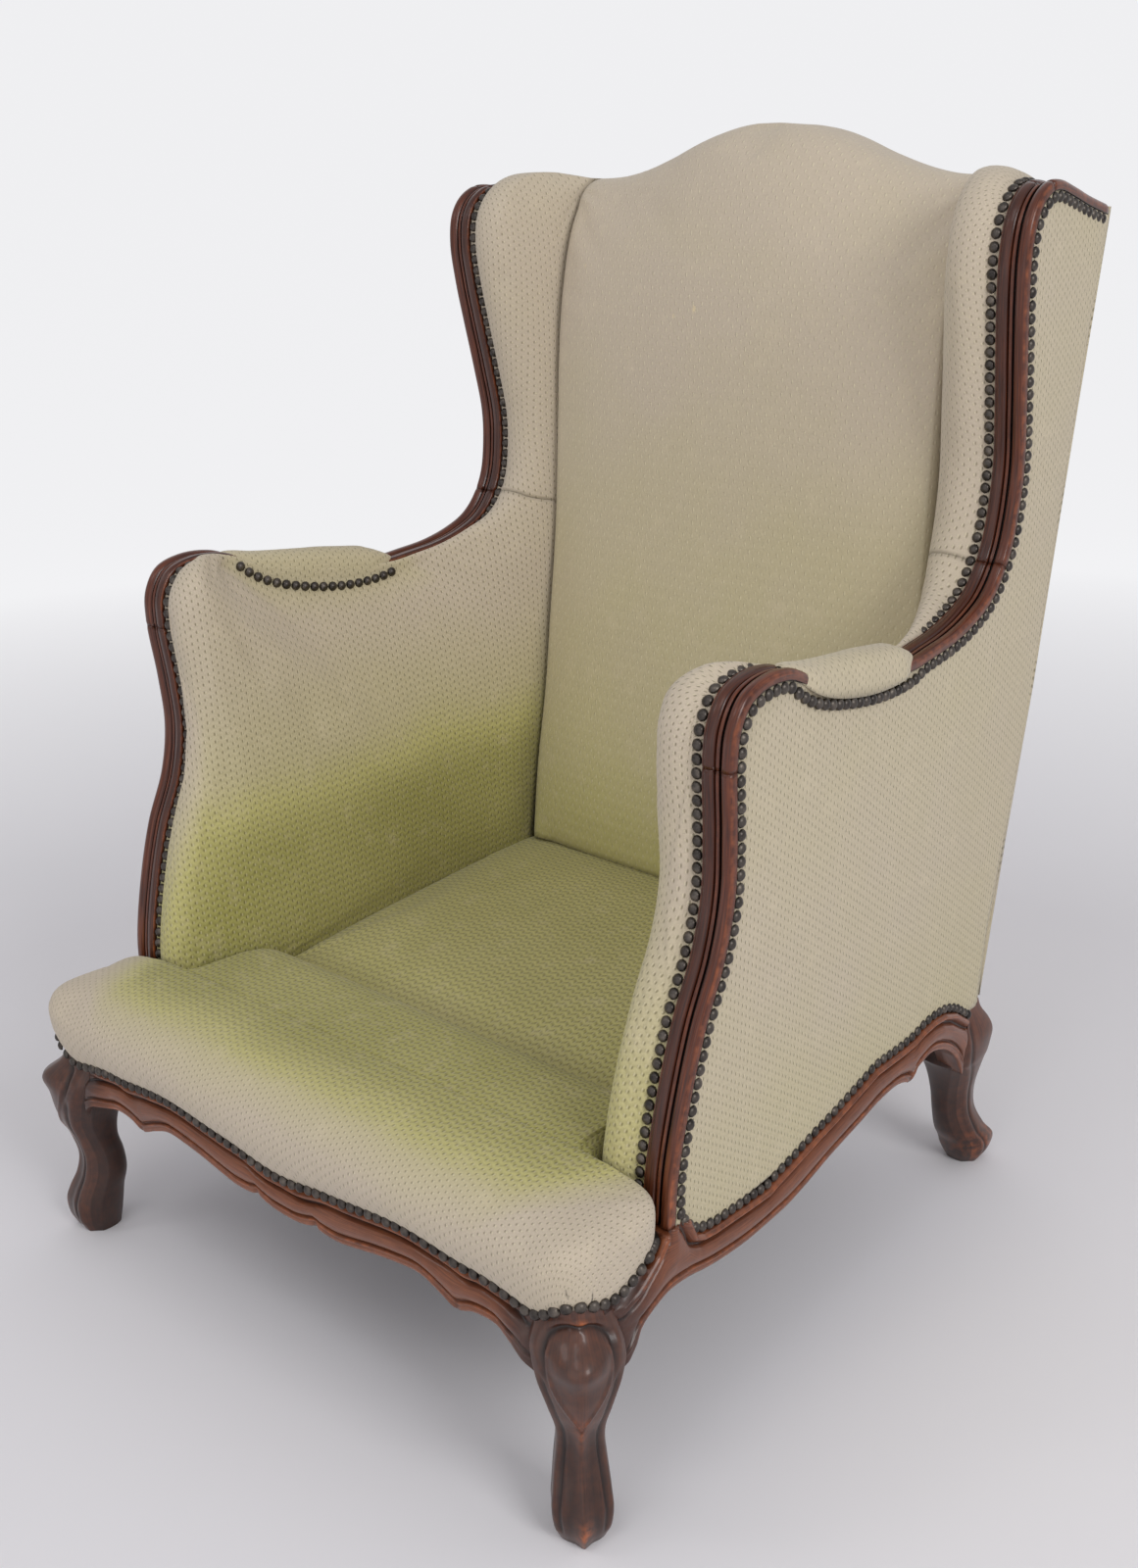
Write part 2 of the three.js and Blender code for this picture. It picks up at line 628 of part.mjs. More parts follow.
const onCanvas = (lift) => (column, y) => {
  const x = Math.abs(column) === 1 ? column * canvasHalf(y) : column;
  return [x, y, canvasEdge + canvasLift(x, y) + lift];
};
addPiece('spring_canvas', slab(
  onCanvas(canvasThickness), onCanvas(0),
  [-1, ...canvasColumns.map((x) => -x), 0, ...[...canvasColumns].reverse(), 1], canvasRows,
), jute);

const springFoot = crossHeight + webThickness + clearance + springWire / 2;
const springTop = canvasEdge + canvasRise - clearance - springWire / 2;
function coilSpring(x, y) {
  const steps = springTurns * springStepsPerTurn;
  const ring = (k) => {
    const turn = k * springTurns * 2 * Math.PI;
    const middle = new THREE.Vector3(
      x + springRadius * Math.cos(turn), y + springRadius * Math.sin(turn), lerp(springFoot, springTop, k));
    const out = new THREE.Vector3(Math.cos(turn), Math.sin(turn), 0);
    return range(springSides).map((i) => {
      const a = (i / springSides) * 2 * Math.PI;
      const p = middle.clone().addScaledVector(out, (springWire / 2) * Math.cos(a));
      return [p.x, p.y, p.z + (springWire / 2) * Math.sin(a)];
    });
  };
  return loft(evenly(steps).map(ring), [[0, 1, 2]]);
}
crossPlaces.slice(0, springRows).forEach((y, row) => {
  strapPlaces.forEach((x, column) => {
    addPiece(`coil_spring_${row * strapPlaces.length + column + 1}`, coilSpring(x, y), steel);
  });
});

// Dust cover inside the rails, its corners cut off round the glue blocks
const dustFront = frontRailRear + clearance;
const dustRear = backRailFront - clearance;
const dustCut = blockLeg + coverThickness;
const frontDustX = frontJoint - dustCut;
const rearDustX = rearBlockX - dustCut;
const dustOutline = [
  [-frontDustX, dustFront], [frontDustX, dustFront],
  [innerFace(sideJoint + dustCut, dustCoverHeight), sideJoint + dustCut],
  [innerFace(dustRear - dustCut, dustCoverHeight), dustRear - dustCut],
  [rearDustX, dustRear], [-rearDustX, dustRear],
  [-innerFace(dustRear - dustCut, dustCoverHeight), dustRear - dustCut],
  [-innerFace(sideJoint + dustCut, dustCoverHeight), sideJoint + dustCut],
];
addPiece('dust_cover', plate(
  dustOutline, dustCoverHeight, dustCoverHeight + dustCoverThickness, upright), blackCloth);

// Seat deck: crowned cushion on the canvas, its rear tucked under the back pad
const deckTopShares = [[0, 0.92], [0.3, 0.96], [0.75, 1], [1, 1]];
const deckBottom = canvasTop + canvasRise + clearance;
const deckTop = (u, v) => deckHeight * valueAt(deckTopShares, v) - deckCrown * u * u * u * u;
const onDeck = (height) => (u, v) => [u * deckHalfWidth, lerp(canvasFront, deckRearDepth, v), height(u, v)];
const deckColumnShares = [-1, -0.96, -0.8, -0.4, 0, 0.4, 0.8, 0.96, 1];
const deckRowShares = [0, 0.05, 0.2, 0.45, 0.7, 0.9, 1];
addPiece('seat_deck', slab(
  onDeck(deckTop), onDeck(() => deckBottom), deckColumnShares, deckRowShares), deckFabric);

// Seat lip: a stuffed roll across the whole front. Its section is written as shares of its run from the
// front to the seam and of its height; in front of the posts it ends at the posts' faces.
const lipSectionShares = [
  [0.2, 0], [0.09, 0], [0.034, 0.06], [0.004, 0.27], [0, 0.5], [0.034, 0.76], [0.11, 0.93], [0.25, 1],
  [0.44, 0.99], [0.53, 0.97], [0.72, 0.86], [0.92, 0.7], [1, 0.58], [1, 0],
];
const lipBottom = frontFrameTop + clearance;
const lipRun = lipSeamDepth - lipFrontDepth;
const lipRise = lipHeight - lipBottom;
const hornRear = postFootDepth - coverThickness;
const hornMiddleDepth = (lipFrontDepth + hornRear) / 2;
const hornMiddleHeight = lipBottom + lipRise / 2;
function lipRing(x, rearLimit, size) {
  return lipSectionShares.map(([s, t]) => {
    const y = Math.min(lipFrontDepth + s * lipRun, rearLimit);
    const z = lipBottom + t * lipRise;
    return [x, lerp(hornMiddleDepth, y, size), lerp(hornMiddleHeight, z, size)];
  });
}
const lipNeck = deckHalfWidth - clearance;
const lipEndShares = [[1, 0.7], [0.985, 0.88], [0.955, 0.97], [0.9, 1], [0.8, 1]];
const hornRings = (side) => [
  ...lipEndShares.map(([s, size]) => lipRing(side * s * lipHalfWidth, hornRear, size)),
  lipRing(side * (lipNeck + clearance), hornRear, 1),
];
const lipRings = [
  ...hornRings(-1), ...[-1, -0.6, -0.2, 0.2, 0.6, 1].map((s) => lipRing(s * lipNeck, lipSeamDepth, 1)),
  ...hornRings(1).reverse(),
];
addPiece('seat_lip', loft(lipRings, capOf(lipSectionShares)), fabric);

// Crease between the back and the sides: height shares of the back's front, depth in front of the rear edge
const creaseBottom = 292;
const creaseRise = shoulderHeight - creaseBottom;
const creaseShares = [
  [0, 0], [0.11, 0.083], [0.24, 0.223], [0.36, 0.322], [0.5, 0.422], [0.65, 0.488], [0.75, 0.521],
  [0.84, 0.587], [0.94, 0.744], [1, 1],
];
const creaseFoot = 239;
const creaseRun = 121;
const creaseDepth = (z) => creaseFoot + creaseRun * valueAt(creaseShares, (z - creaseBottom) / creaseRise);

// Back pad: one upholstered panel whose front bows a little and rolls over the crest rail
const backPadBottom = deckHeight + clearance;
const backRowShares = [0, 0.06, 0.2, 0.4, 0.6, 0.8, 0.93, 1];
const crestAngles = [30, 60, 90].map(THREE.MathUtils.degToRad);
function backRing(x) {
  const top = camelTop(x);
  const crown = backCrown * (1 - (x / creaseHalfWidth) ** 2);
  const front = backRowShares.map((s) => {
    const z = lerp(backPadBottom, top - crestRound, s);
    return [creaseDepth(z - s * (top - shoulderHeight)) - crown, z];
  });
  const frontTop = front[front.length - 1][0];
  const round = crestAngles.map((a) => [
    frontTop + crestRound * (1 - Math.cos(a)), top - crestRound * (1 - Math.sin(a))]);
  const underCrest = top - crestCover + clearance;
  const inFrontOfFrame = (z) => rearEdge(z) - rearPostSquare - clearance - clearance;
  const backHeights = rakeHeights.filter((z) => z > backPadBottom && z < crestLow).reverse();
  return [
    ...front, ...round,
    [rearEdgeTop - backTurnIn - backTurnIn, top - backTurnIn / 2],
    [rearEdgeTop - backTurnIn, top - backTurnIn * 2],
    [rearEdgeTop - backTurnIn, underCrest],
    [inFrontOfFrame(crestLow), underCrest],
    ...backHeights.map((z) => [inFrontOfFrame(z), z]),
    [inFrontOfFrame(backPadBottom), backPadBottom],
  ].map(([y, z]) => [x, y, z]);
}
const backColumns = camelShares.map(([s]) => s * creaseHalfWidth);
const backColumnsX = [...backColumns.slice(1).reverse().map((x) => -x), ...backColumns];
addPiece('inner_back_pad', loft(
  backColumnsX.map(backRing), capOf(backRing(creaseHalfWidth).map(([, y, z]) => [y, z]))), fabric);

// Inner side pads: a roll along the wood, then a surface that runs in to the seat and back creases.
// The roll is written as shares of its width inward, of its depth behind the wood's face, and of the
// depth of the pad's own back.
const rollShares = [
  [0, 0.25, 0.6], [0.22, 0.17, 0.7], [0.44, -0.17, 0.8], [0.76, -0.22, 0.9], [0.96, 0.28, 1], [1, 1, 1.1],
];
const padInset = ribbonWidth + clearance;
const seatCreaseShares = [[0, 0], [0.25, 0.55], [1, 1]];
const seatCreaseFront = -205;
const padFoot = canvasTop + clearance;
const padStep = 50;
const seatCorner = [creaseFoot, creaseBottom];
const cornerShare = 0.33;
const shoulderShare = 0.93;

// End of the pad's surface opposite a share of the side line: [depth, height]
function creaseAt(share) {
  if (share < cornerShare) {
    const k = share / cornerShare;
    const rise = valueAt(seatCreaseShares, k);
    return [lerp(seatCreaseFront, seatCorner[0], k), lerp(padFoot, seatCorner[1], rise)];
  }
  const k = clamp((share - cornerShare) / (armLengthShare - cornerShare), 0, 1);
  const w = clamp((share - armLengthShare) / (shoulderShare - armLengthShare), 0, 1);
  const z = lerp(lerp(seatCorner[1], armHeight, k), shoulderHeight, w);
  const end = clamp((share - shoulderShare) / (1 - shoulderShare), 0, 1);
  return [lerp(creaseDepth(z), wingRearDepth - backTurnIn, end), z];
}

// The roll is slim beside the arm top pad, and turns up over the top of the wing
const armPadEase = 0.04;
const slimRollShare = 0.1;
function rollSize(share) {
  const beside = smoothstep(share, armPadFrontShare - armPadEase, armPadFrontShare)
    * (1 - smoothstep(share, armPadRearShare, armPadRearShare + armPadEase));
  return lerp(1, slimRollShare, beside);
}
const turnUpShare = 0.87;
const wingLift = (share) => smoothstep(share, turnUpShare, 0.95);
const footBulge = (share) => smoothstep(share, 0, 0.05);
const creaseColumnShares = [0.33, 0.66, 1];
const rollCount = rollShares.length;

function padPoint(share, column, isBack) {
  const [reach, stand, backDepth] = rollShares[Math.min(column, rollCount - 1)];
  const size = rollSize(share);
  const lift = wingLift(share);
  const bulge = stand < 0 ? stand * footBulge(share) * size : stand;
  const front = lerp(bulge, stand * (1 - reach) - reach, lift) * rollDepth;
  const inset = padInset + reach * size * rollWidth;
  const [y, z] = behindFace(share, isBack ? backDepth * rollDepth : front);
  if (column < rollCount) return onSide(isBack ? padInset : inset, y, z);
  const k = creaseColumnShares[column - rollCount];
  const [qy, qz] = creaseAt(share);
  const atCorner = smoothstep(share, cornerShare - armPadEase, cornerShare);
  const creaseX = lerp(deckHalfWidth, creaseHalfWidth, atCorner) + notch;
  const drop = isBack ? lift * (shoulderDrop - clearance) : 0;
  const [py, pz] = [lerp(y, qy, k), lerp(z, qz - drop, k)];
  const frameX = outerX(py, pz) - padInset;
  if (isBack) return [lerp(frameX, lerp(frameX, creaseX, lift), k), py, pz];
  return [lerp(outerX(y, z) - inset, creaseX, k), py, pz];
}

const padFootShare = (padFoot - postFootHeight) / lineLength;
const armPadShares = stepsAlong(padFootShare, armLengthShare - jointGap, padStep);
const wingPadShares = stepsAlong(armLengthShare + jointGap, 1, padStep);
function sidePad(shares) {
  const columns = range(rollCount + creaseColumnShares.length);
  const sheet = (isBack) => (column, share) => padPoint(share, column, isBack);
  return slab(sheet(false), sheet(true), columns, shares);
}

// Arm top pad: an almond-shaped cushion over the arm rail, with flanks that hang down both sides
const armTopRows = [0.03, 0.1, 0.25, 0.42, 0.58, 0.75, 0.9, 0.97];
const topRoundShare = 0.45;
const dropRoundShare = 0.6;
const swell = (k) => Math.sin(Math.PI * k);
function armTopShape(grow) {
  const outline = (k) => {
    const height = armPadThickness * swell(k) ** topRoundShare + grow;
    const drop = armPadDrop * swell(k) ** dropRoundShare + grow;
    const [outer, inner] = [-armPadFlank - grow, ribbonWidth + armPadInnerFlank + grow];
    return [
      [outer, drop], [outer, -height * 0.4], [0, -height * 0.85], [ribbonWidth * 0.3, -height],
      [ribbonWidth * 0.7, -height], [ribbonWidth, -height * 0.85], [inner, -height * 0.4], [inner, drop],
    ];
  };
  const rings = armTopRows.map((k) => {
    const share = lerp(armPadFrontShare, armPadRearShare, k) + (k - 0.5) * 2 * (grow / lineLength);
    return outline(k).map(([inset, depth]) => onSide(inset, ...behindFace(share, depth)));
  });
  return loft(rings, capOf(outline(0.5)));
}

// Room taken by the arm rail, its cover and the space inside it, a clearance larger
const railRoom = [
  [-clearance, -clearance], [padInset, -clearance], [padInset, ribbonDepth], [-clearance, ribbonDepth],
];
addPair('arm_top_pad', cutBy(
  armTopShape(0), sweep(railRoom, stepsAlong(postLengthShare, armLengthShare))), fabric);
addPair('inner_arm_pad', cutBy(sidePad(armPadShares), armTopShape(clearance)), fabric);
addPair('inner_wing_pad', sidePad(wingPadShares), fabric);

// Outside covers of the sides, let in behind the moulding and above the rail's carved face
const coverDepth = mouldingDepth + clearance;
const coverFoot = rearBlockHeight + clearance;
const coverLower = [
  [postRear + notch, postFootHeight],
  ...sideNailLine.map(([y, z]) => [y + notch, Math.max(z + notch, coverFoot)]),
  [rearEdge(coverFoot), coverFoot],
];
const coverTop = behindFace(1, coverDepth)[1];
const rearHeights = [coverTop, ...rakeHeights.filter((z) => z < coverTop).reverse()];
const sideCover = [
  ...lineShares.map((share) => behindFace(share, coverDepth)),
  ...rearHeights.map((z) => [rearEdge(z), z]),
  ...coverLower.reverse(),
];
addPair('outer_side_cover', plate(sideCover, coverInset, coverInset + coverThickness, onSidePlate), fabric);

// Outside cover of the back, from the seat frame to the camel line and out to both sides
const coverHem = 8;
const backHalf = (z) => outerX(rearEdge(z), z) - coverInset;
const atSide = (column) => Math.abs(column) === 1;
const backCoverTop = (column) =>
  (atSide(column) ? uprightTop + crestRound + clearance : camelTop(column) - coverHem);
const backCoverRows = [backCoverBottom, ...rakeHeights.slice(1, -1), camelHeight];
const onBack = (lift) => (column, row) => {
  const z = row < shoulderHeight ? row : backCoverTop(column);
  const x = atSide(column) ? column * backHalf(z) : column;
  return [x, rearEdge(z) + lift, z];
};
addPiece('outer_back_cover', slab(
  onBack(clearance + coverThickness), onBack(clearance), [-1, ...backColumnsX, 1], backCoverRows), fabric);

// Upholstery nails stand close together in rows; each row is one raised strip along a line of [u, v] points
const nailSectionShares = [[-0.5, 0], [-0.3, 1], [0.3, 1], [0.5, 0]];
function nailRow(line, place) {
  const path = line.map(([u, v]) => new THREE.Vector2(u, v));
  const rings = path.map((p, i) => {
    const before = path[Math.max(i - 1, 0)];
    const after = path[Math.min(i + 1, path.length - 1)];
    const along = after.clone().sub(before).normalize();
    return nailSectionShares.map(([s, h]) => place(
      p.x - s * nailWidth * along.y, p.y + s * nailWidth * along.x, h * nailHeight));
  });
  return loft(rings, capOf(nailSectionShares));
}

const frontNailShares = [
  [0, 0.585], [0.1, 0.6], [0.2, 0.708], [0.4, 0.8], [0.583, 0.862], [0.717, 0.8], [0.777, 0.754],
  [0.833, 0.785], [0.933, 0.723], [0.985, 0.68],
];
const frontNailLine = mirrored(frontNailShares.map(([s, t]) => [
  s * frontRailHalfLength, frontRailBase + t * frontRise + nailHeight]));
addPiece('nail_row_front', nailRow(
  frontNailLine, (x, z, height) => [x, railFrontDepth - clearance - height, z]), bronze);

const nailDepth = coverDepth + nailWidth / 2;
const nailLineDepth = (share) => {
  const k = (share - armPadFrontShare) / (armPadRearShare - armPadFrontShare);
  return nailDepth + (k > 0 && k < 1 ? armPadDrop * 0.5 * swell(k) ** dropRoundShare : 0);
};
const nailFootShare = 0.02;
const nailEndShare = 0.99;
const nailCorner = [postRear + nailWidth, postFootHeight + nailWidth / 2];
const outerNailLine = [
  ...sideNailLine.slice(1).map(([y, z]) => [y, z + nailWidth / 2 + coverInset]).reverse(), nailCorner,
  ...lineShares.filter((share) => share > nailFootShare && share < nailEndShare)
    .map((share) => behindFace(share, nailLineDepth(share))),
];
const nailBase = coverInset - clearance;
addPair('nail_row_outer', nailRow(outerNailLine, (y, z, height) => onSide(nailBase - height, y, z)), bronze);

// Inner rows stand in the valley between the wood and the roll
const valleyShares = [[0, 0.25], [1, 0.17]];
const valleySection = nailSectionShares.map(([s, h]) => [
  padInset + clearance + (s + 0.5) * nailWidth,
  valueAt(valleyShares, s + 0.5) * rollDepth - clearance - h * nailHeight,
]);
const [slimFrom, slimTo] = [armPadFrontShare - armPadEase, armPadRearShare + armPadEase];
const postNailShares = armPadShares.filter((share) => share > nailFootShare && share < slimFrom);
const wingNailShares = [
  ...armPadShares.filter((share) => share > slimTo), ...wingPadShares.filter((share) => share < turnUpShare)];
addPair('nail_row_post_inner', sweep(valleySection, postNailShares), bronze);
addPair('nail_row_wing_inner', sweep(valleySection, wingNailShares), bronze);

export default chair;

// The whole chair is moved so that the origin is on the floor under the middle of its box
chair.updateMatrixWorld(true);
const extent = new THREE.Box3().setFromObject(chair);
const middle = extent.getCenter(new THREE.Vector3());
chair.children.forEach((mesh) => mesh.position.set(0, -middle.y, -extent.min.z));
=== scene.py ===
# %% [markdown]
# # A wing armchair with a carved show-wood frame
# The chair has a dark polished frame that shows along its arms, wings, rails and legs. Woven cloth is
# stretched over stuffing between those mouldings, and held by close rows of dome nails. The seat is a bare
# sprung deck, because its loose cushion is away. Every shape below is a surface worked out with numpy in
# millimetres, so that a reader can change a number and see what it does.

import json
from functools import partial

import bpy
import numpy as np
from mathutils import Matrix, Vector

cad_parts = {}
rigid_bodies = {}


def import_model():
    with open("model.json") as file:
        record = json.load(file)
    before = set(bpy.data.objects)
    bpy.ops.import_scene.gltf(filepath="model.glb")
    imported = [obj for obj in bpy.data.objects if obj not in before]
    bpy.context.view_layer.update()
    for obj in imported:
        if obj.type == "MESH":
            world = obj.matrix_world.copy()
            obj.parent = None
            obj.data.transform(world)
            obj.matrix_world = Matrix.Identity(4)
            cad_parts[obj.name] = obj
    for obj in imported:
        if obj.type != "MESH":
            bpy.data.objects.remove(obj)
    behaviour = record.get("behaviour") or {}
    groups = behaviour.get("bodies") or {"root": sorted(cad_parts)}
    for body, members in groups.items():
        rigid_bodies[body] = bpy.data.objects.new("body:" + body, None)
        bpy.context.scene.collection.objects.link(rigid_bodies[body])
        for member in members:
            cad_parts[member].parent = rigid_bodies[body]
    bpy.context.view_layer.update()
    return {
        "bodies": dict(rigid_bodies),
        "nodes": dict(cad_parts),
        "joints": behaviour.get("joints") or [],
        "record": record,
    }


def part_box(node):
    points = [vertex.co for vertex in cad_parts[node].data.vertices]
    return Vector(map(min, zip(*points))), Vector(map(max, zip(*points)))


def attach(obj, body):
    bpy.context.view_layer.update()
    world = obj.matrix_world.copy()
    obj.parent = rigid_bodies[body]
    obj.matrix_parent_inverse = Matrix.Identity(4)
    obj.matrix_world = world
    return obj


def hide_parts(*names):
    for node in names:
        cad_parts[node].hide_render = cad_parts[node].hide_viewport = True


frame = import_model()
NODES = frame["nodes"]
print("nodes loaded:", len(NODES))

# %% [markdown]
# ## Where things are
# The heights and depths below are the chair's own, in millimetres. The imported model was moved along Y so
# that its origin is under the middle of the chair. The front rail's face tells by how much.

# %% Sizes shared by several pieces
RAIL_FRONT, RAIL_TOP, SIDE_RAIL_TOP = -350.0, 222.0, 242.0
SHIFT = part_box("front_rail")[0].y * 1000 - RAIL_FRONT
ARM_HEIGHT, SHOULDER = 681.0, 1030.0
POST_FOOT = 242.3
# Depths of the moulding line's foot, its turn from arm to wing, and its rear end. Half the back's width.
POST_Y, WING_Y, REAR_Y, BACK_HALF = -246, 262, 419, 246
# The outer face of a side frame: half the chair's width at the origin, toe-in and outward lean.
SIDE_HALF, TOE, LEAN = 331.7, 0.0699, 0.0432
# The moulding's width, how deep the covers are let in behind it, and the play between pieces.
RIBBON, REBATE, GAP = 30.0, 6.8, 0.3
# Shares of the moulding line at the ends of the post, the arm and the wing's upright, and of the arm top pad.
POST_END, ARM_END, STILE_END = 0.276, 0.648, 0.905
PAD_FRONT, PAD_REAR = 0.372, 0.531
SIDES = (False, "right"), (True, "left")
print("shift along Y:", round(SHIFT, 2), "mm")

# %% [markdown]
# ## From arrays to meshes
# Almost every piece here is a closed skin over rings of points: a moulding is its section carried along a
# line, a cushion is its outline carried across the chair. One function turns such an array into a mesh. It
# checks which way the faces point from the volume they enclose, so a mirrored piece comes out right too.


# %% Skin over rings of points
def grid(*parts):
    """Arrays of coordinates, spread over each other, as one array of points."""
    return np.stack(np.broadcast_arrays(*parts), -1)


def as_mesh(name, points, faces3, faces4, uv3=None, uv4=None, values=None):
    """Writes points (mm), triangles and quads into a mesh, with a UV map in metres and named point values."""
    mesh = bpy.data.meshes.new(name)
    co = np.array(points, float)
    co[:, 1] += SHIFT
    mesh.vertices.add(len(co))
    mesh.vertices.foreach_set("co", (co / 1000).astype(np.float32).ravel())
    loops = np.concatenate([faces4.ravel(), faces3.ravel()])
    starts = np.concatenate([np.arange(len(faces4)) * 4, len(faces4) * 4 + np.arange(len(faces3)) * 3])
    mesh.loops.add(len(loops))
    mesh.loops.foreach_set("vertex_index", loops.astype(np.int32))
    mesh.polygons.add(len(starts))
    mesh.polygons.foreach_set("loop_start", starts.astype(np.int32))
    mesh.polygons.foreach_set("use_smooth", np.ones(len(starts), bool))
    if uv4 is not None:
        layer = mesh.uv_layers.new(name="piece")
        uv = np.concatenate([uv4.reshape(-1, 2), uv3.reshape(-1, 2)])
        layer.data.foreach_set("uv", uv.astype(np.float32).ravel())
    for key, value in (values or {}).items():
        mesh.attributes.new(key, "FLOAT", "POINT").data.foreach_set("value", value.astype(np.float32).ravel())
    mesh.update(calc_edges=True)
    mesh.validate()
    return mesh


def skin(name, rings, uv, values, left):
    """A closed skin over rings: an array of rows by points around by (x, y, z). Each point joins the next one
    round its ring and the same one on the next ring, and each end is closed on its middle point."""
    rings = np.array(rings, float) * ((-1, 1, 1) if left else (1, 1, 1))
    rows, around = rings.shape[:2]
    points = np.concatenate([rings.reshape(-1, 3), rings[[0, -1]].mean(axis=1)])
    i, j = np.meshgrid(np.arange(rows - 1), np.arange(around), indexing="ij")
    a, b = i * around + j, i * around + (j + 1) % around
    quads = np.stack([a, b, b + around, a + around], -1).reshape(-1, 4)
    k, pole, last = np.arange(around), rows * around, (rows - 1) * around
    after = (k + 1) % around
    low = np.stack([np.full(around, pole), after, k], -1)
    high = np.stack([np.full(around, pole + 1), last + k, last + after], -1)
    tris = np.concatenate([low, high])
    if uv.shape[1] == around:
        uv = np.concatenate([uv, uv[:, -1:]], 1)
    uv4 = np.stack([uv[:-1, :-1], uv[:-1, 1:], uv[1:, 1:], uv[1:, :-1]], 2).reshape(-1, 4, 2)
    ends = [uv[r].mean(axis=0) + np.zeros((around, 2)) for r in (0, -1)]
    uv3 = np.concatenate([
        np.stack([ends[0], uv[0, 1:], uv[0, :-1]], 1),
        np.stack([ends[1], uv[-1, :-1], uv[-1, 1:]], 1)])
    p = points[quads]
    volume = np.einsum("ij,ij->", p[:, 0], np.cross(p[:, 1], p[:, 2]) + np.cross(p[:, 2], p[:, 3]))
    p = points[tris]
    volume += np.einsum("ij,ij->", p[:, 0], np.cross(p[:, 1], p[:, 2]))
    if volume < 0:
        quads, uv4 = quads[:, ::-1], uv4[:, ::-1]
        tris, uv3 = tris[:, ::-1], uv3[:, ::-1]
    full = {}
    for key, value in values.items():
        value = np.broadcast_to(value, (rows, around))
        full[key] = np.concatenate([value.ravel(), value[[0, -1]].mean(axis=1)])
    return as_mesh(name, points, tris, quads, uv3, uv4, full)


def add_piece(name, mesh, material, stands_for=()):
    """Puts a mesh in the scene as one piece of the chair. It rides on the chair's only body."""
    piece = bpy.data.objects.new(name, mesh)
    bpy.context.scene.collection.objects.link(piece)
    mesh.materials.append(material)
    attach(piece, "root")
    if stands_for:
        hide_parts(*stands_for)
    print(name, len(mesh.polygons), "faces")
    return piece


def add_skin(name, rings, uv, values, material, node, left=False):
    """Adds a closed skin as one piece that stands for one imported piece."""
    return add_piece(name, skin(name, rings, uv, values, left), material, [node])


def plump(piece, free, most):
    """Swells a pad as its stuffing does. Blender's cloth runs for 20 frames with air pressure and no gravity, and
    only the free points (an array like the rings) may move, by at most so many millimetres: a shift grows with the
    simulated one and levels off at that limit. The result is written into the mesh, and the cloth is removed."""
    scene, mesh = bpy.context.scene, piece.data
    held = np.append(~free.ravel(), [True, True])
    group = piece.vertex_groups.new(name="held")
    group.add(np.flatnonzero(held).tolist(), 1.0, "REPLACE")
    cloth = piece.modifiers.new("cloth", "CLOTH")
    cloth.settings.use_pressure = True
    cloth.settings.uniform_pressure_force = 4.0
    cloth.settings.vertex_group_mass = "held"
    cloth.settings.quality = 3
    cloth.settings.effector_weights.gravity = 0.0
    cloth.point_cache.frame_start, cloth.point_cache.frame_end = 1, 20
    for frame in range(1, 21):
        scene.frame_set(frame)
    points = [np.empty(3 * len(held), np.float32) for _ in range(2)]
    mesh.vertices.foreach_get("co", points[0])
    piece.evaluated_get(bpy.context.evaluated_depsgraph_get()).data.vertices.foreach_get("co", points[1])
    start, end = (v.reshape(-1, 3) for v in points)
    shift = (end - start) * 1000
    far = np.linalg.norm(shift, axis=1)[:, None]
    shift *= most * np.tanh(far / most) / np.maximum(far, 1e-6)
    piece.modifiers.remove(cloth)
    piece.vertex_groups.remove(group)
    scene.frame_set(1)
    mesh.vertices.foreach_set("co", (start + shift / 1000).astype(np.float32).ravel())
    mesh.update()
    print("  plumped by up to", round(float(np.linalg.norm(shift, axis=1).max()), 1), "mm")


# %% [markdown]
# ## Small curve tools
# A smooth line through a few measured points gives nearly every outline of this chair: the sweep of the
# arm and wing, the camel back, the scalloped rails and the sections of the mouldings.


# %% Lines, blends and lengths
def smooth_line(points, count):
    """A smooth line through rows of points. Each stretch is a cubic. Its end slopes come from the points on
    either side, weighed by the square roots of the distances between them."""
    p = np.asarray(points, float)
    wide = np.vstack([2 * p[0] - p[1], p, 2 * p[-1] - p[-2]])
    step = np.sqrt(np.linalg.norm(np.diff(wide, axis=0), axis=1))[:, None]
    before, here, after = step[:-2], step[1:-1], step[2:]
    p0, p1, p2, p3 = wide[:-3], wide[1:-2], wide[2:-1], wide[3:]
    m1 = ((p1 - p0) / before - (p2 - p0) / (before + here) + (p2 - p1) / here) * here
    m2 = ((p2 - p1) / here - (p3 - p1) / (here + after) + (p3 - p2) / after) * here
    t = np.linspace(0, len(p) - 1, count)
    k = np.minimum(t.astype(int), len(p) - 2)
    u = (t - k)[:, None]
    return ((2 * u**3 - 3 * u**2 + 1) * p1[k] + (u**3 - 2 * u**2 + u) * m1[k]
            + (3 * u**2 - 2 * u**3) * p2[k] + (u**3 - u**2) * m2[k])


def ramp(x, start, end):
    """Goes smoothly from 0 at start to 1 at end."""
    t = np.clip((x - start) / (end - start), 0, 1)
    return t * t * (3 - 2 * t)


def mix(a, b, t):
    """The value a share t of the way from a to b."""
    return a + (b - a) * t


def bump(x, middle, width):
    """A bell-shaped bump of height 1."""
    return np.exp(-(((x - middle) / width) ** 2))


def run_length(points):
    """How far along a line of points each one is."""
    return np.concatenate([[0], np.cumsum(np.linalg.norm(np.diff(points, axis=0), axis=1))])


def smooth_knots(x, knots):
    """The value at x of a smooth line through knots of (x, value), whose x only grows."""
    line = smooth_line(knots, 40 * len(knots))
    return np.interp(x, line[:, 0], line[:, 1])


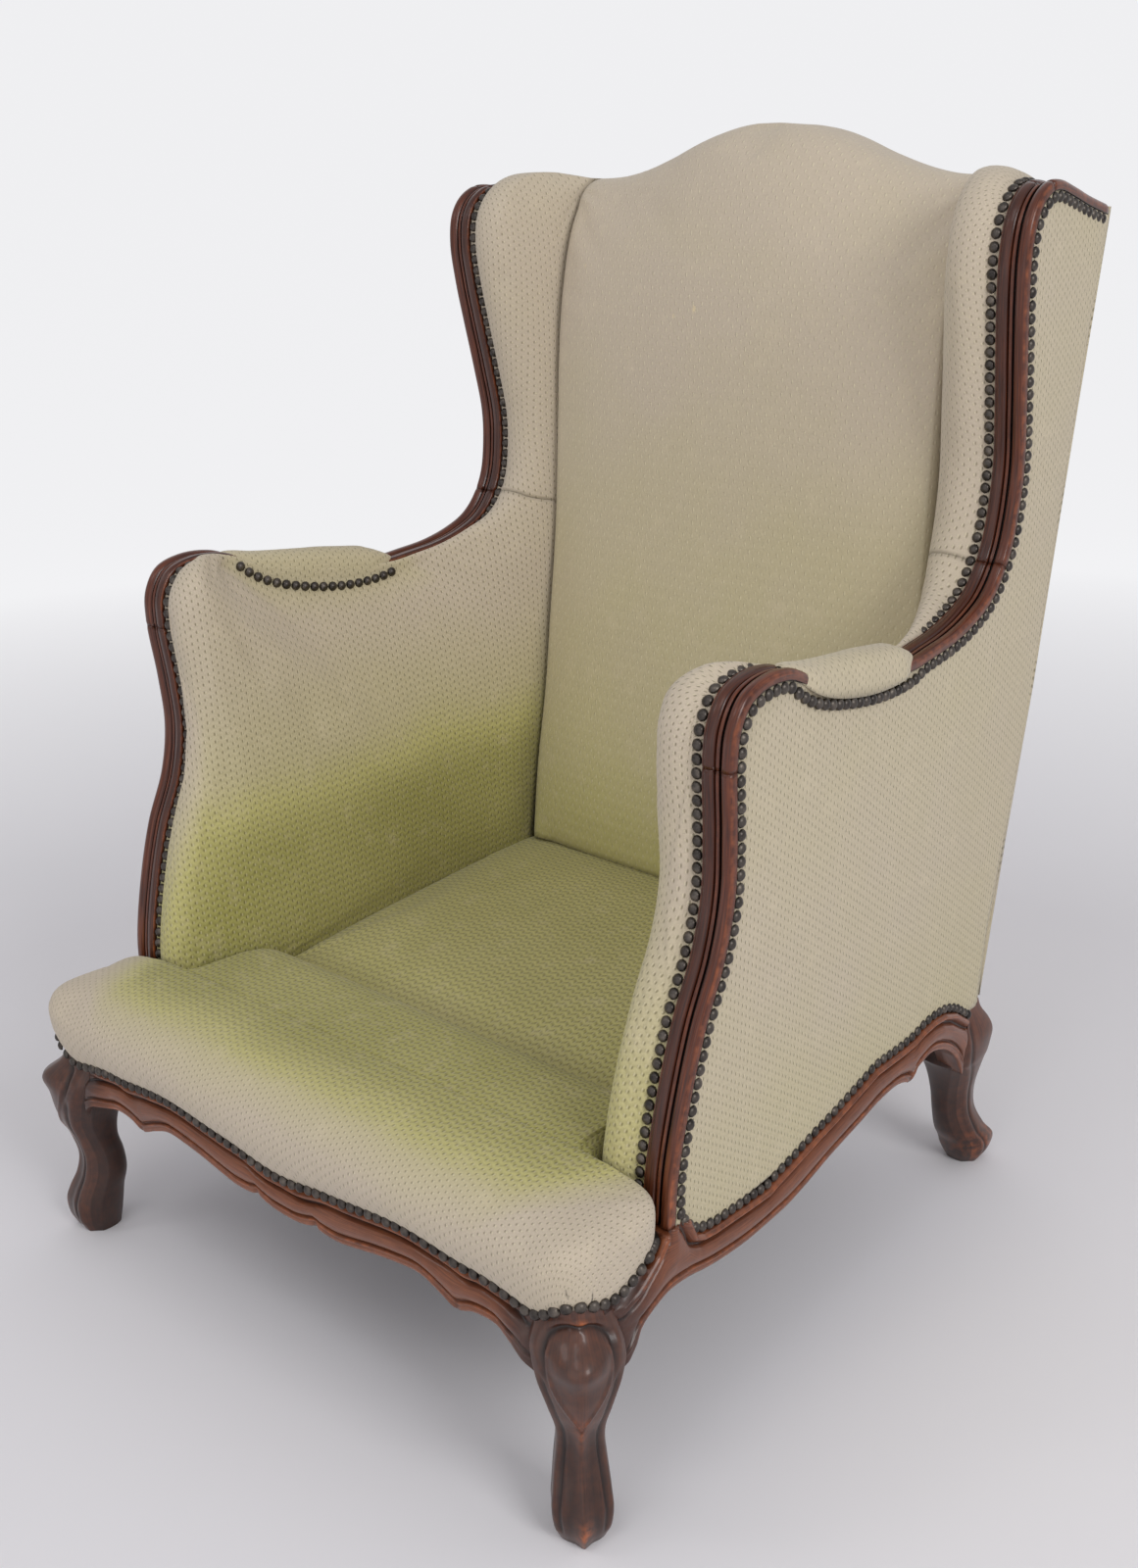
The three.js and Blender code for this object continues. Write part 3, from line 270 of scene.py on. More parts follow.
# %% [markdown]
# ## The side frames
# Each side of the chair is a flat frame that stands on a slanting plane: a little closer together at the
# back, and leaning a little outward at the top. One line in that plane, the front line of the moulding,
# runs up the arm post, over the arm, up the wing and back over its top. All that is nailed or joined to
# the side is placed by its share of that line, its inset from the outer face and its depth behind the line.

# %% The front line of the moulding
ARM_SHARES = np.array([
    [0, 0], [0.004, 0.109], [0.028, 0.246], [0.065, 0.387], [0.11, 0.503], [0.13, 0.61], [0.128, 0.724],
    [0.118, 0.861], [0.124, 0.927], [0.154, 0.979], [0.209, 1], [0.28, 0.996], [0.366, 0.957],
    [0.484, 0.929], [0.602, 0.909], [0.691, 0.902], [0.76, 0.909], [0.839, 0.92], [0.907, 0.941],
    [0.957, 0.968], [0.992, 1.007]])
WING_SHARES = np.array([
    [0.064, 0.083], [0.108, 0.183], [0.115, 0.284], [0.064, 0.427], [0, 0.573], [-0.051, 0.699],
    [-0.076, 0.814], [-0.045, 0.9], [0.038, 0.954], [0.166, 0.986], [0.29, 0.99], [0.497, 0.971],
    [0.72, 0.946], [1, 0.92]])
LINE = smooth_line(np.vstack([
    ARM_SHARES * (WING_Y - POST_Y, ARM_HEIGHT - POST_FOOT) + (POST_Y, POST_FOOT),
    WING_SHARES * (REAR_Y - WING_Y, SHOULDER - ARM_HEIGHT) + (WING_Y, ARM_HEIGHT)]), 8001)
LINE_RUN = run_length(LINE)
LENGTH = LINE_RUN[-1]
LINE_SHARE = LINE_RUN / LENGTH
SLOPE = np.gradient(LINE, axis=0)
SLOPE /= np.linalg.norm(SLOPE, axis=1)[:, None]
print("moulding line:", round(LENGTH), "mm")


def outer_x(y, z):
    """The outer face of a side frame: narrower toward the back, wider toward the top."""
    return SIDE_HALF - TOE * y + LEAN * z


def behind(share, depth):
    """The place a depth square behind the line at a share of its length, as arrays of y and z."""
    y, z, ty, tz = (np.interp(share, LINE_SHARE, part) for part in (*LINE.T, *SLOPE.T))
    return np.minimum(y + depth * tz, REAR_Y), np.maximum(z - depth * ty, POST_FOOT)


def on_side(inset, y, z):
    """Points of the side frame at an inset from its outer face."""
    return grid(outer_x(y, z) - inset, y, z)


def steps(start, end, length):
    """Shares of the line from start to end, about a length in mm apart."""
    return np.linspace(start, end, max(3, int((end - start) * LENGTH / length)))


# %% [markdown]
# ## A helper for materials
# A material is a small graph of nodes. One function adds a node with its settings and its links, so that
# each finish reads as a short list. Colours are written as on screen, in hex, and turned to linear light.


# %% Colours and nodes
def colour(text, alpha=1.0):
    """A hex colour as the linear values that Blender mixes with."""
    srgb = np.array([int(text[i:i + 2], 16) for i in (1, 3, 5)]) / 255
    linear = np.where(srgb <= 0.04045, srgb / 12.92, ((srgb + 0.055) / 1.055) ** 2.4)
    return (*[float(v) for v in linear], alpha)


DOES = {"Math": "operation", "Attribute": "attribute_name"}


def add_node(tree, kind, *values, out=0, stops=(), **named):
    """Adds a node and returns one of its outputs. A kind in capitals is that operation of the Math node. Values
    go into the inputs in order, but an attribute's first is its name. A named value is a setting of the node, or
    else the input of that name. Text in an input is a hex colour, and stops are a ramp's places and colours."""
    if kind.isupper():
        kind, values = "Math", (kind, *values)
    made = tree.nodes.new("ShaderNode" + kind)
    if kind == "Mix":
        made.data_type = "RGBA"
    if kind in DOES:
        setattr(made, DOES[kind], values[0])
        values = values[1:]
    into = list(zip([socket for socket in made.inputs if socket.enabled], values))
    for key, value in named.items():
        if hasattr(made, key):
            setattr(made, key, value)
        else:
            into.append((made.inputs[key.replace("_", " ")], value))
    for socket, value in into:
        if isinstance(value, bpy.types.NodeSocket):
            tree.links.new(value, socket)
        else:
            socket.default_value = colour(value) if isinstance(value, str) else value
    for _ in stops[2:]:
        made.color_ramp.elements.new(0.5)
    for element, (place, text) in zip(made.color_ramp.elements if stops else (), stops):
        element.position, element.color = place, colour(text)
    if isinstance(out, str):
        return made.outputs[out]
    return [socket for socket in made.outputs if socket.enabled][out]


def new_material(name, **constants):
    """A material with one Principled shader, whose constant values are set on its own sockets. It comes with
    the node function bound to its graph, and a function that links outputs to the shader."""
    material = bpy.data.materials.new(name)
    material.use_nodes = True
    tree = material.node_tree
    shader = tree.nodes["Principled BSDF"]
    for key, value in constants.items():
        shader.inputs[key.replace("_", " ")].default_value = value

    def feed(**sockets):
        for key, value in sockets.items():
            tree.links.new(value, shader.inputs[key.replace("_", " ")])

    return material, partial(add_node, tree), feed


# %% [markdown]
# ## Stained and polished beech
# Show wood like this is close-grained beech, stained to a red walnut and rubbed with shellac. The stain
# and old wax gather in the grooves, which look almost black, and hands and shoes wear the edges back to a
# bright orange brown. The legs are painted greyer, partly for dust and partly as a painted grey sheen of
# reflected light. The polish is a thin gloss coat on a duller body.


# %% Material: polished show wood
def polished_wood():
    material, node, feed = new_material("stained_polished_beech", IOR=1.45, Coat_Weight=0.16, Coat_Roughness=0.05)
    uv = node("UVMap")
    # Grain: fibres about 1.4 mm wide and 40 mm long along the piece.
    stretched = node("Mapping", uv, Scale=(700.0, 26.0, 1.0))
    grain = node("TexNoise", stretched, Scale=1.0, Detail=5.0)
    place = node("TexCoord", out="Object")
    cloud = node("TexNoise", place, Scale=14.0, Detail=3.0)
    speck = node("TexNoise", place, Scale=130.0, Detail=4.0)
    groove, wear, haze, warm = (node("Attribute", name, out="Fac") for name in ("groove", "wear", "haze", "warm"))
    body = node("ValToRGB", grain, stops=((0.32, "#3c190d"), (0.52, "#602c17"), (0.72, "#7e4023")))
    body = node("Mix", warm, body, node("ValToRGB", grain, stops=((0.32, "#6b3822"), (0.7, "#a5653f"))))
    body = node("Mix", node("MULTIPLY", cloud, 0.5), body, "#36180e")
    # Dust and a painted grey sheen of reflected light: the legs and the ends of the rails go a dull grey-brown.
    grey_dust_and_sheen = node("ValToRGB", cloud, stops=((0.3, "#2c201d"), (0.7, "#4c3a34")))
    body = node("Mix", haze, body, grey_dust_and_sheen)
    spots = node("MULTIPLY_ADD", speck, 3.4, -1.35, use_clamp=True)
    rubbed = node("MULTIPLY", wear, spots, use_clamp=True)
    body = node("Mix", rubbed, body, "#a65c34")
    # Stain in the grooves goes almost black, and so does painted shade on the legs' faces turned in under the chair.
    body = node("Mix", groove, body, "#150a07")
    rough = node("MULTIPLY_ADD", grain, 0.14, 0.26)
    rough = node("MULTIPLY_ADD", haze, 0.04, rough)
    height = node("ADD", node("MULTIPLY", grain, 0.6), node("MULTIPLY", speck, 0.4))
    normal = node("Bump", Height=height, Strength=0.12, Distance=0.0006)
    feed(Base_Color=body, Roughness=rough, Normal=normal)
    return material


WOOD = polished_wood()
print("material:", WOOD.name)

# %% [markdown]
# ## Woven cover
# The cloth is a heavy furnishing weave of one yarn. Short slanting floats, about 6 mm apart across and 8 mm
# along, sit in staggered columns that slant in turn to the left and right, with a small dark hole beside
# each. Light has bleached it from olive to beige wherever no cushion kept it covered. Each mesh carries
# that as a point value, fade. Two more say how much dust and painted shade darken the cloth, and how
# plainly its dark marks show, plain. A UV map in metres keeps the weave at its real size.


# %% Material: woven cover
# Small damage: two slits at the right end of the front edge, and worn spots on the back. Centres and half sizes
# are in metres.
SLIT, WORN = "#1c1a14", "#e2cfa6"
MARKS = [
    ((0.3495, -0.366, 0.240), (0.0009, 0.02, 0.0085), SLIT), ((0.357, -0.338, 0.230), (0.02, 0.0009, 0.010), SLIT),
    ((-0.0372, 0.292, 0.9038), (0.003, 0.03, 0.005), WORN), ((-0.0643, 0.292, 0.8959), (0.0012, 0.03, 0.003), WORN),
    ((-0.2039, 0.292, 0.9417), (0.0015, 0.03, 0.004), WORN)]


def woven_cover():
    material, node, feed = new_material(
        "woven_furnishing_cloth", Roughness=0.9, IOR=1.45, Sheen_Weight=0.2, Sheen_Roughness=0.5)
    uv = node("UVMap")
    across, up = (node("SeparateXYZ", uv, out=name) for name in "XY")
    # The zigzag repeats every 11.6 mm across and every 8 mm along the cloth.
    half = node("MULTIPLY", across, 2 / 0.0116)
    along = node("MULTIPLY", up, 1 / 0.008)
    column = node("ROUND", half)
    dx = node("SUBTRACT", half, column)
    odd = node("FLOORED_MODULO", column, 2.0)
    peak = node("PINGPONG", half, 1.0)
    zigzag = node("COSINE", node("MULTIPLY", node("MULTIPLY_ADD", peak, 0.5, along), 2 * np.pi))
    row = node("MULTIPLY_ADD", odd, 0.5, along)
    dy = node("SUBTRACT", row, node("ROUND", row))
    # A float is an ellipse 2 mm wide and 3 to 5 mm long, and a dark hole as long lies 1.6 mm beside it.
    fade, soil, plain = (node("Attribute", name, out="Fac") for name in ("fade", "soil", "plain"))
    long = node("MULTIPLY_ADD", plain, 0.13, 0.17)
    tall, wide, aside = (node("POWER", node("ABSOLUTE", part), 2.0) for part in (
        node("DIVIDE", dy, long), node("MULTIPLY", dx, 1 / 0.17), node("MULTIPLY_ADD", dx, 1 / 0.15, 1.9)))
    thread, hole = (node("SUBTRACT", 1.15, node("ADD", part, tall), use_clamp=True) for part in (wide, aside))
    place = node("TexCoord", out="Object")
    yarn = node("TexNoise", place, Scale=650.0, Detail=3.0)
    cloud = node("TexNoise", place, Scale=8.0, Detail=4.0)
    patchy = node("TexNoise", place, Scale=45.0, Detail=3.0)
    drift = node("MULTIPLY_ADD", node("SUBTRACT", cloud, 0.5), 0.35, fade, use_clamp=True)
    base = node("ValToRGB", drift, stops=(
        (0.0, "#a5a05b"), (0.3, "#c2bb7b"), (0.6, "#c4b993"), (1.0, "#c6b8a4")))
    olive = node("SUBTRACT", 1.0, fade, use_clamp=True)
    # Bold where the cloth is unfaded, and faint where it is bleached.
    bold = node("MULTIPLY", node("MULTIPLY_ADD", olive, 0.56, 0.06), node("MULTIPLY", plain, plain))
    crest = node("POWER", node("MULTIPLY_ADD", zigzag, 0.5, 0.5), 1.6)
    body = node("Mix", node("MULTIPLY", crest, bold), base, "#686127")
    dark = node("MULTIPLY", plain, node("MULTIPLY_ADD", plain, -1.6, 1.95))
    body = node("Mix", node("MULTIPLY", hole, dark), body, "#5f5734")
    lit = node("MULTIPLY", thread, node("MULTIPLY_ADD", plain, -0.2, 0.5))
    body = node("Mix", lit, body, "#e3d9b8")
    for noise, least, share, text in ((yarn, 0.4, 0.4, "#7d7558"), (patchy, 0.56, 0.9, "#dccdb0")):
        over = node("SUBTRACT", noise, least, use_clamp=True)
        body = node("Mix", node("MULTIPLY", over, share), body, text)
    # Dust, and painted shade in creases and behind overhangs, darken the cloth toward a dull brown.
    body = node("Mix", soil, body, "#554a34")
    for centre, half, text in MARKS:
        off = node("VectorMath", place, (centre[0], centre[1] + SHIFT / 1000, centre[2]), operation="SUBTRACT")
        off = node("VectorMath", off, [1 / v for v in half], operation="MULTIPLY")
        far = node("VectorMath", off, operation="LENGTH", out="Value")
        mark = node("SUBTRACT", 1.7, node("MULTIPLY_ADD", yarn, 1.4, far), use_clamp=True)
        body = node("Mix", mark, body, text)
    relief = node("MULTIPLY_ADD", thread, 0.8, node("MULTIPLY", hole, -0.8))
    relief = node("MULTIPLY_ADD", zigzag, node("MULTIPLY_ADD", olive, -0.45, -0.1), relief)
    relief = node("MULTIPLY_ADD", yarn, 0.5, relief)
    normal = node("Bump", Height=relief, Strength=0.6, Distance=0.0008)
    feed(Base_Color=body, Normal=normal)
    return material


CLOTH = woven_cover()
print("material:", CLOTH.name)

# %% [markdown]
# ## Show-wood moulding
# The moulding is a moulded section carried along the line. Seen from in front it has a broad outer bead, a
# deep groove near the middle with a thin bead beside it, then a wide inner bead. Behind the moulding the
# wood is narrower, where the covers are tacked. The post, arm, wing upright and wing top are separate
# pieces of wood, glued end to end, and fine dark lines show where they meet.

# %% Section of the moulding
FACE = smooth_line([
    [0, 9], [0.001, 6.4], [0.018, 3.4], [0.055, 1.4], [0.115, 0.3], [0.2, 0], [0.3, 0.7], [0.365, 2.6], [0.4, 5.2],
    [0.425, 5.6], [0.45, 4.0], [0.485, 2.2], [0.52, 2.2], [0.55, 3.8], [0.572, 5.0], [0.6, 3.4], [0.65, 1.4],
    [0.74, 0.5], [0.83, 0.2], [0.9, 0.9], [0.93, 1.6], [0.955, 1.2], [0.98, 2.0], [0.996, 4.8], [1, 9]], 90)
LET_IN = REBATE / RIBBON
SECTION = np.vstack([FACE, [[1 - LET_IN, 9.2], [1 - LET_IN, 26], [LET_IN, 26], [LET_IN, 9.2]]])


def moulding(name, start, end, node, left):
    """The section carried along the side line from one share to another, eased at joints by 0.35 mm."""
    share = steps(start + 0.12 / LENGTH, end - 0.12 / LENGTH, 4.0)[:, None]
    rim = np.minimum(share - share[0] + 1e-9, share[-1] - share + 1e-9) * LENGTH
    ease = 0.35 * np.exp(-rim / 0.8)
    place, depth = SECTION.T[:, None, :]
    depth = depth + ease
    y, z = behind(share, depth)
    rings = on_side(place * RIBBON + ease * np.sign(0.5 - place), y, z)
    around = run_length(SECTION * (RIBBON, 1))
    around = np.append(around, around[-1] + 5) / 1000
    # Stain lies in the two grooves and in the ditches at the edges, and darkens the wide inner bead.
    groove = np.where(place > 0.9, ramp(depth, 2.6, 5.0), ramp(depth, 1.9, 4.4))
    groove = np.where(place < 0.2, ramp(depth, 7.6, 9.2), groove)
    groove = np.maximum(groove, 0.3 * np.exp(-rim / 0.9) * (rim < 4))
    groove = np.maximum(groove, 0.42 * ((place > 0.62) & (place < 0.97)))
    edge = bump(place, 0.03, 0.035) + bump(place, 0.965, 0.03) + 0.5 * bump(place, 0.5, 0.03)
    low = 1 - ramp(z, 255, 360)
    values = {"groove": groove, "wear": edge * (0.5 + 0.5 * low), "haze": 0, "warm": 0.25 * low}
    uv = grid(around, share * LENGTH / 1000)
    add_skin(name, rings, uv, values, WOOD, node, left=left)


for left, side in SIDES:
    for name, start, end, node in (
            ("post", 0.0, POST_END, "arm_post"), ("arm", POST_END, ARM_END, "arm_rail"),
            ("wing", ARM_END, STILE_END, "wing_stile"), ("wing_top", STILE_END, 1.0, "wing_top_rail")):
        moulding(f"{name}_moulding_{side}", start, end, f"{node}_{side}", left)

# %% [markdown]
# ## Carved rails
# The front rail and the two side rails are planks with a scalloped lower edge. A bead runs along that edge
# and another under the nails, each with a groove beside it, and the broad face between them swells a
# little. The upper part of each face lies hidden behind the cover.

# %% Front rail
# Heights of a front leg: how far its corner stands out of the frame's corner, and its side over 36 mm.
LEG_ROWS = np.array([
    [0, 0, 0.84], [14, 5.0, 1.04], [32, 6.1, 1.13], [45, 2.9, 1.08], [65, -4, 0.98], [85, -6.5, 0.89],
    [105, -2.9, 0.91], [126, 4, 1.14], [138, 6.8, 1.3], [150, 8.6, 1.48], [166, 9, 1.66], [183, 5, 1.76],
    [196, -2.2, 1.8], [206, -5, 1.8], [222, -5, 1.8]])
# Half widths and heights of the front rail's lower edge and its nails.
FRONT_LOW = np.array([
    [0, 158], [20, 159], [34, 162.5], [41, 164.5], [48, 162.6], [70, 161.5], [97, 166], [121, 171], [147, 175],
    [175, 177], [197, 170], [213, 163], [220, 161.5], [228, 164.5], [237, 168], [255, 170], [274, 167.5],
    [290, 166.5], [296, 164], [302, 159.5], [308, 152.5], [313, 143], [318, 130], [322, 118]])
FRONT_NAILS = np.array([
    [0, 200], [23, 200], [55, 207], [89, 210], [121, 214], [146, 217], [170, 218], [194, 216], [215, 214],
    [233, 211], [249, 213], [270, 211], [291, 208], [309, 203]])


def mirrored(half):
    """Knots for both halves from those of one half."""
    return np.vstack([half[:0:-1] * (-1, 1), half])


def distance_to(y, z, line):
    """Distance of every grid point from the nearest of a line's points."""
    gap = np.full(y.shape, 1e9)
    for start in range(0, len(line), 40):
        part = line[start:start + 40]
        gap = np.minimum(gap, np.hypot(y[..., None] - part[:, 0], z[..., None] - part[:, 1]).min(axis=-1))
    return gap


def toward_leg(away, height, gap):
    """How far a rail's face sweeps out to meet the leg's face, which stands a gap behind the frame's corner."""
    stand = np.interp(height, LEG_ROWS[:, 0], LEG_ROWS[:, 1])
    return np.maximum(stand + gap, 0) * ramp(away, 262, 300) - 14 * ramp(away, 301, 322)


def carved_rail(name, node, along, face, low, edge, nailed, place, depths, heights,
                away, cusps, fit, gap, haze, warm, left=False):
    """A carved rail from its places along and the heights of its face's points, its lower edge and the edge under
    the nails, which counts where it is nailed. A bead and a groove follow each edge, and the face swells between
    them. place turns how far points stand out, and their heights, into points. depths and heights are those of the
    hidden ones. Cusps are carved in the lower edge, and near the legs the face fits in and sweeps out to meet
    them over a gap. away is the distance from the rail's middle toward the leg."""
    across = along[:, None] + 0 * face
    from_top = distance_to(across, face, grid(along, edge)[nailed]) * np.where(face > edge[:, None], -1, 1)
    from_bottom = distance_to(across, face, grid(along, low))
    middle = np.sin(np.pi * np.clip((from_top - 10) / np.maximum(from_top + from_bottom - 19, 4), 0, 1)) ** 0.8
    top = 4.6 * bump(from_top, 3.4, 3.2) - 2.8 * bump(from_top, 9.8, 1.9)
    bottom = (2.0 * bump(from_bottom, 6.6, 1.2) - 1.8 * bump(from_bottom, 9.2, 1.2)
              + 1.2 * bump(from_bottom, 2.6, 2.4))
    cusp = cusps[:, None] * np.clip(1 - from_bottom / 16, 0, 1)
    out = (top + bottom + 4.6 * middle - 1.2 * cusp) * fit[:, None] + toward_leg(away[:, None], face, gap)
    out = np.where(face > edge[:, None] + 1, 0, out)
    rings = np.concatenate([place(out, face), place(-np.array(depths), heights)], 1)
    # Dark stain lies in the two grooves and close under the nails, and polish is rubbed off the beads.
    groove = 0.95 * bump(from_top, 9.6, 1.5) + 0.55 * bump(from_bottom, 9.0, 1.2) + 0.6 * (from_top < -0.5)
    groove = np.maximum(np.clip(groove, 0, 0.95), 0.5 * cusp)
    wear = (0.9 * bump(from_bottom, 6.6, 1.2) + 0.6 * bump(from_bottom, 1.0, 1.6)
            + 0.5 * bump(from_top, 2.5, 2.2) + 0.12) * (1 - ramp(away, 278, 300))[:, None]
    rear = (0, 0), (0, len(depths))
    haze = haze[:, None]
    values = {"groove": np.pad(groove, rear, constant_values=0.2), "wear": np.pad(wear, rear), "haze": haze,
              "warm": warm - haze}
    uv = grid(np.linspace(0, 0.12, rings.shape[1] + 1), along[:, None] / 1000)
    add_skin(name, rings, uv, values, WOOD, node, left=left)


x = np.linspace(-322, 322, 431)
low = smooth_knots(x, mirrored(FRONT_LOW))
edge = smooth_knots(x, mirrored(FRONT_NAILS)) - 5.5
face = mix((edge + 2)[:, None], low[:, None], np.linspace(0, 1, 72))
face = np.concatenate([np.full((len(x), 1), RAIL_TOP), face], 1)
away = np.abs(x)
carved_rail(
    "front_rail_carved", "front_rail", x, face, low, edge, slice(None),
    lambda out, z: grid(x[:, None], RAIL_FRONT - out, z), [3.0, 15.0, 28.0, 28.0],
    grid(low, low + 1, low + 2, RAIL_TOP), away, bump(away, 41, 3.0) + bump(away, 220, 3.0),
    1 - 0.7 * ramp(away, 280, 308), 1.6, 0.7 * ramp(away, 262, 302), 0.85)

# %% Side rails
# Depths and heights of the side rails' lower edges, and of their top edges under the covers and nails.
SIDE_LOW = np.array([
    [-322, 118], [-318, 130], [-313, 141.5], [-308, 149.5], [-302, 156.5], [-296, 163], [-290, 168.5],
    [-284, 173.5], [-267, 179], [-245, 185], [-217, 183], [-187, 176], [-156, 171], [-124, 168], [-92, 168],
    [-59, 169], [-28, 174], [13, 183], [74, 193], [100, 198], [126, 200], [143, 199], [158, 194.5],
    [167, 190], [177, 193], [183, 199], [194, 202], [211, 204], [230, 199], [250, 189], [272, 171],
    [287, 150], [292, 142]])
SIDE_TOP = np.array([
    [-322, 200], [-308, 203], [-300, 206], [-288, 212], [-275, 221], [-262, 230], [-254, 240], [-250, 242],
    [-219, 242], [-215, 234], [-208, 221], [-196, 215], [-181, 212], [-153, 209], [-122, 206], [-96, 204],
    [-77, 208], [-57, 211], [-20, 218], [15, 223], [67, 233], [93, 238], [120, 237], [147, 236], [170, 237], [186, 240], [209, 241],
    [234, 238], [260, 228], [281, 214], [292, 207]])
SIDE_NAILS = np.array([
    [-229, 250], [-222, 240], [-208, 226], [-181, 217], [-153, 214], [-122, 211], [-96, 209], [-77, 213],
    [-57, 216], [-20, 223], [15, 228], [67, 238], [93, 243], [120, 242], [147, 241], [170, 242], [186, 245],
    [209, 246], [234, 243], [260, 233], [281, 219], [292, 212]])
y = np.linspace(-322, 292, 411)
low = smooth_knots(y, SIDE_LOW)
edge = np.interp(y, *SIDE_TOP.T)
plank = np.where(y < -251, RAIL_TOP, SIDE_RAIL_TOP)
for left, side in SIDES:
    carved_rail(
        f"side_rail_carved_{side}", f"side_rail_{side}", y, mix(edge[:, None], low[:, None], np.linspace(0, 1, 72)),
        low, edge, (y < -253) | (y > -221), lambda out, z: on_side(-out, y[:, None], z),
        [3.0, 14.0, 28.0, 28.0, 7.0, 6.8], grid(low, low + 1, low + 2, plank, plank, edge), -y, bump(y, 167, 4.0),
        np.minimum(1 - 0.7 * ramp(-y, 280, 308), (293 - y) / 6).clip(0, 1), -3.4, 0.6 * ramp(-y, 255, 298), 0.6, left)

# %% [markdown]
# ## Cabriole legs
# A cabriole leg swells at the knee, curves in at the ankle and out again at the foot. Its section is a
# rounded diamond set on the chair's diagonal, so one ridge runs down the front of the leg. The knee carries
# a raised teardrop, outlined by a thin line, under an arched flange.

# %% Front legs
# Heights and half widths of the teardrop on the knee.
TEAR = np.array([
    [112, 0], [122, 3], [130, 8], [140, 14], [150, 19.5], [160, 23.5], [172, 25.5], [182, 25], [190, 21.5],
    [196, 15], [200, 8], [201.5, 0]])


# The section's two side corners are cut flat at this share of its half width.
CHAMFER, AROUND = 0.87, 144
# The frame's front corner, and how far in a leg may reach before it meets the rails' tenons.
FRONT_CORNER, FRONT_INNER = (357, -352), (300.3, -299.7)


def diamond(power):
    """A rounded diamond: the sum of both half widths' shares, each to a power, is 1. At power 1 it is a
    square on its corner, and at power 2 a circle."""
    turn = np.linspace(0, 2 * np.pi, AROUND, endpoint=False)[None, :]
    return [np.sign(v) * np.abs(v) ** (2 / power) for v in (np.cos(turn), np.sin(turn))]


def leg_section(side_x, side_y, power):
    """Places along the outward diagonal and across it for a leg's sides and its diamond's power, how far from
    the flat corners they are, and where the section faces out."""
    half = (side_x + side_y) / 2 / np.sqrt(2)
    out, across = diamond(power)
    d, w = out * half, np.clip(across * half, -CHAMFER * half, CHAMFER * half)
    return d, w, CHAMFER * half, CHAMFER * half - np.abs(w), ramp(d, 0, 8)


def leg_rings(corner_x, corner_y, side_x, side_y, z, d, w, lift, sign):
    """A leg's points, with the carving's lift. The sign is -1 for a front leg and 1 for a rear one."""
    scale = 1 + lift / np.maximum(np.hypot(d, w), 8)
    d, w = d * scale, w * scale
    x = corner_x - side_x / 2 + (d + w) / np.sqrt(2) * (side_x / (side_x + side_y) * 2)
    y = corner_y - sign * side_y / 2 + sign * (d - w) / np.sqrt(2) * (side_y / (side_x + side_y) * 2)
    return grid(x, y, z), w


def leg_map(z):
    """A leg's UV map, 160 mm round and as high as the leg."""
    return grid(np.linspace(0, 0.16, AROUND + 1), z / 1000)


for left, side in SIDES:
    z = np.linspace(0, RAIL_TOP, 200)[:, None]
    stand = smooth_knots(z, LEG_ROWS[:, :2])
    square = 36 * smooth_knots(z, LEG_ROWS[:, [0, 2]])
    corner_x, corner_y = FRONT_CORNER[0] + stand, FRONT_CORNER[1] - stand
    side_x, side_y = (
        np.minimum(square, room) for room in (corner_x - FRONT_INNER[0], FRONT_INNER[1] - corner_y))
    power = smooth_knots(z, [[0, 1.5], [30, 1.6], [80, 1.75], [120, 1.5], [160, 1.36], [190, 1.36], [222, 1.12]])
    d, w, reach, near_edge, outward = leg_section(side_x, side_y, power)
    h = np.interp(z, *TEAR.T, left=-9, right=-9)
    inside = np.clip(1 - (w / np.maximum(h, 1)) ** 2, 0, 1) * (h > 0)
    dome = 10 * bump(z, 179, 13) * inside
    gap = distance_to(np.abs(w), z + 0 * w, smooth_line(TEAR[:, ::-1], 240)) * np.where(np.abs(w) < h, -1, 1)
    line = 1.5 * bump(gap, 0, 1.2) * ramp(z, 108, 124) * (1 - ramp(z, 182, 194))
    dip = bump(gap, 3.2, 2.0) * ramp(z, 148, 180)
    rim = bump(gap, 7.6, 2.4) * ramp(z, 166, 186)
    low = 1 - ramp(z, 98, 124)
    keel = bump(w, 0, 3.2) * low
    flank = bump(np.abs(w), reach * 0.45, 6.0) * (0.35 + 0.65 * low) * (1 - ramp(z, 120, 150))
    bead = bump(near_edge, 1.6, 1.4) * ramp(z, 4, 14) * (1 - ramp(z, 152, 166))
    channel = bump(near_edge, 5.0, 1.4) * ramp(z, 8, 20) * (1 - ramp(z, 152, 166))
    lift = (dome + 1.1 * line - 3.0 * dip + 1.4 * rim + 1.6 * keel - 2.0 * flank + 0.9 * bead - 1.8 * channel
            - 1.0 * bump(w, 0, 2.6) * inside * ramp(z, 140, 165)) * outward
    rings, w = leg_rings(corner_x, corner_y, side_x, side_y, z, d, w, lift, -1)
    tip = bump(z, 16, 12) * bump(w, 2, 6) * outward
    knee = (bump(z, 207, 4) * bump(w, 3, 7) + 0.4 * bump(z, 112, 16) * bump(w, 0, 5)) * outward
    # Painted shade: the faces turned in under the chair are darkened by half, through the groove value.
    groove = (0.9 * dip + 0.85 * channel + 0.5 * flank * low) * outward + 0.5 * (outward < 0.05)
    values = {
        "groove": np.clip(groove, 0, 0.92),
        "wear": np.clip(1.5 * tip + 1.1 * knee + 0.12 * line * outward + 0.1, 0, 1.5),
        "haze": 0.75 - 0.35 * ramp(z, 180, 222) - 0.5 * bump(z, 118, 24) * bump(w, 0, 8), "warm": 0.3}
    add_skin(f"front_leg_carved_{side}", rings, leg_map(z), values, WOOD, f"front_leg_{side}", left=left)

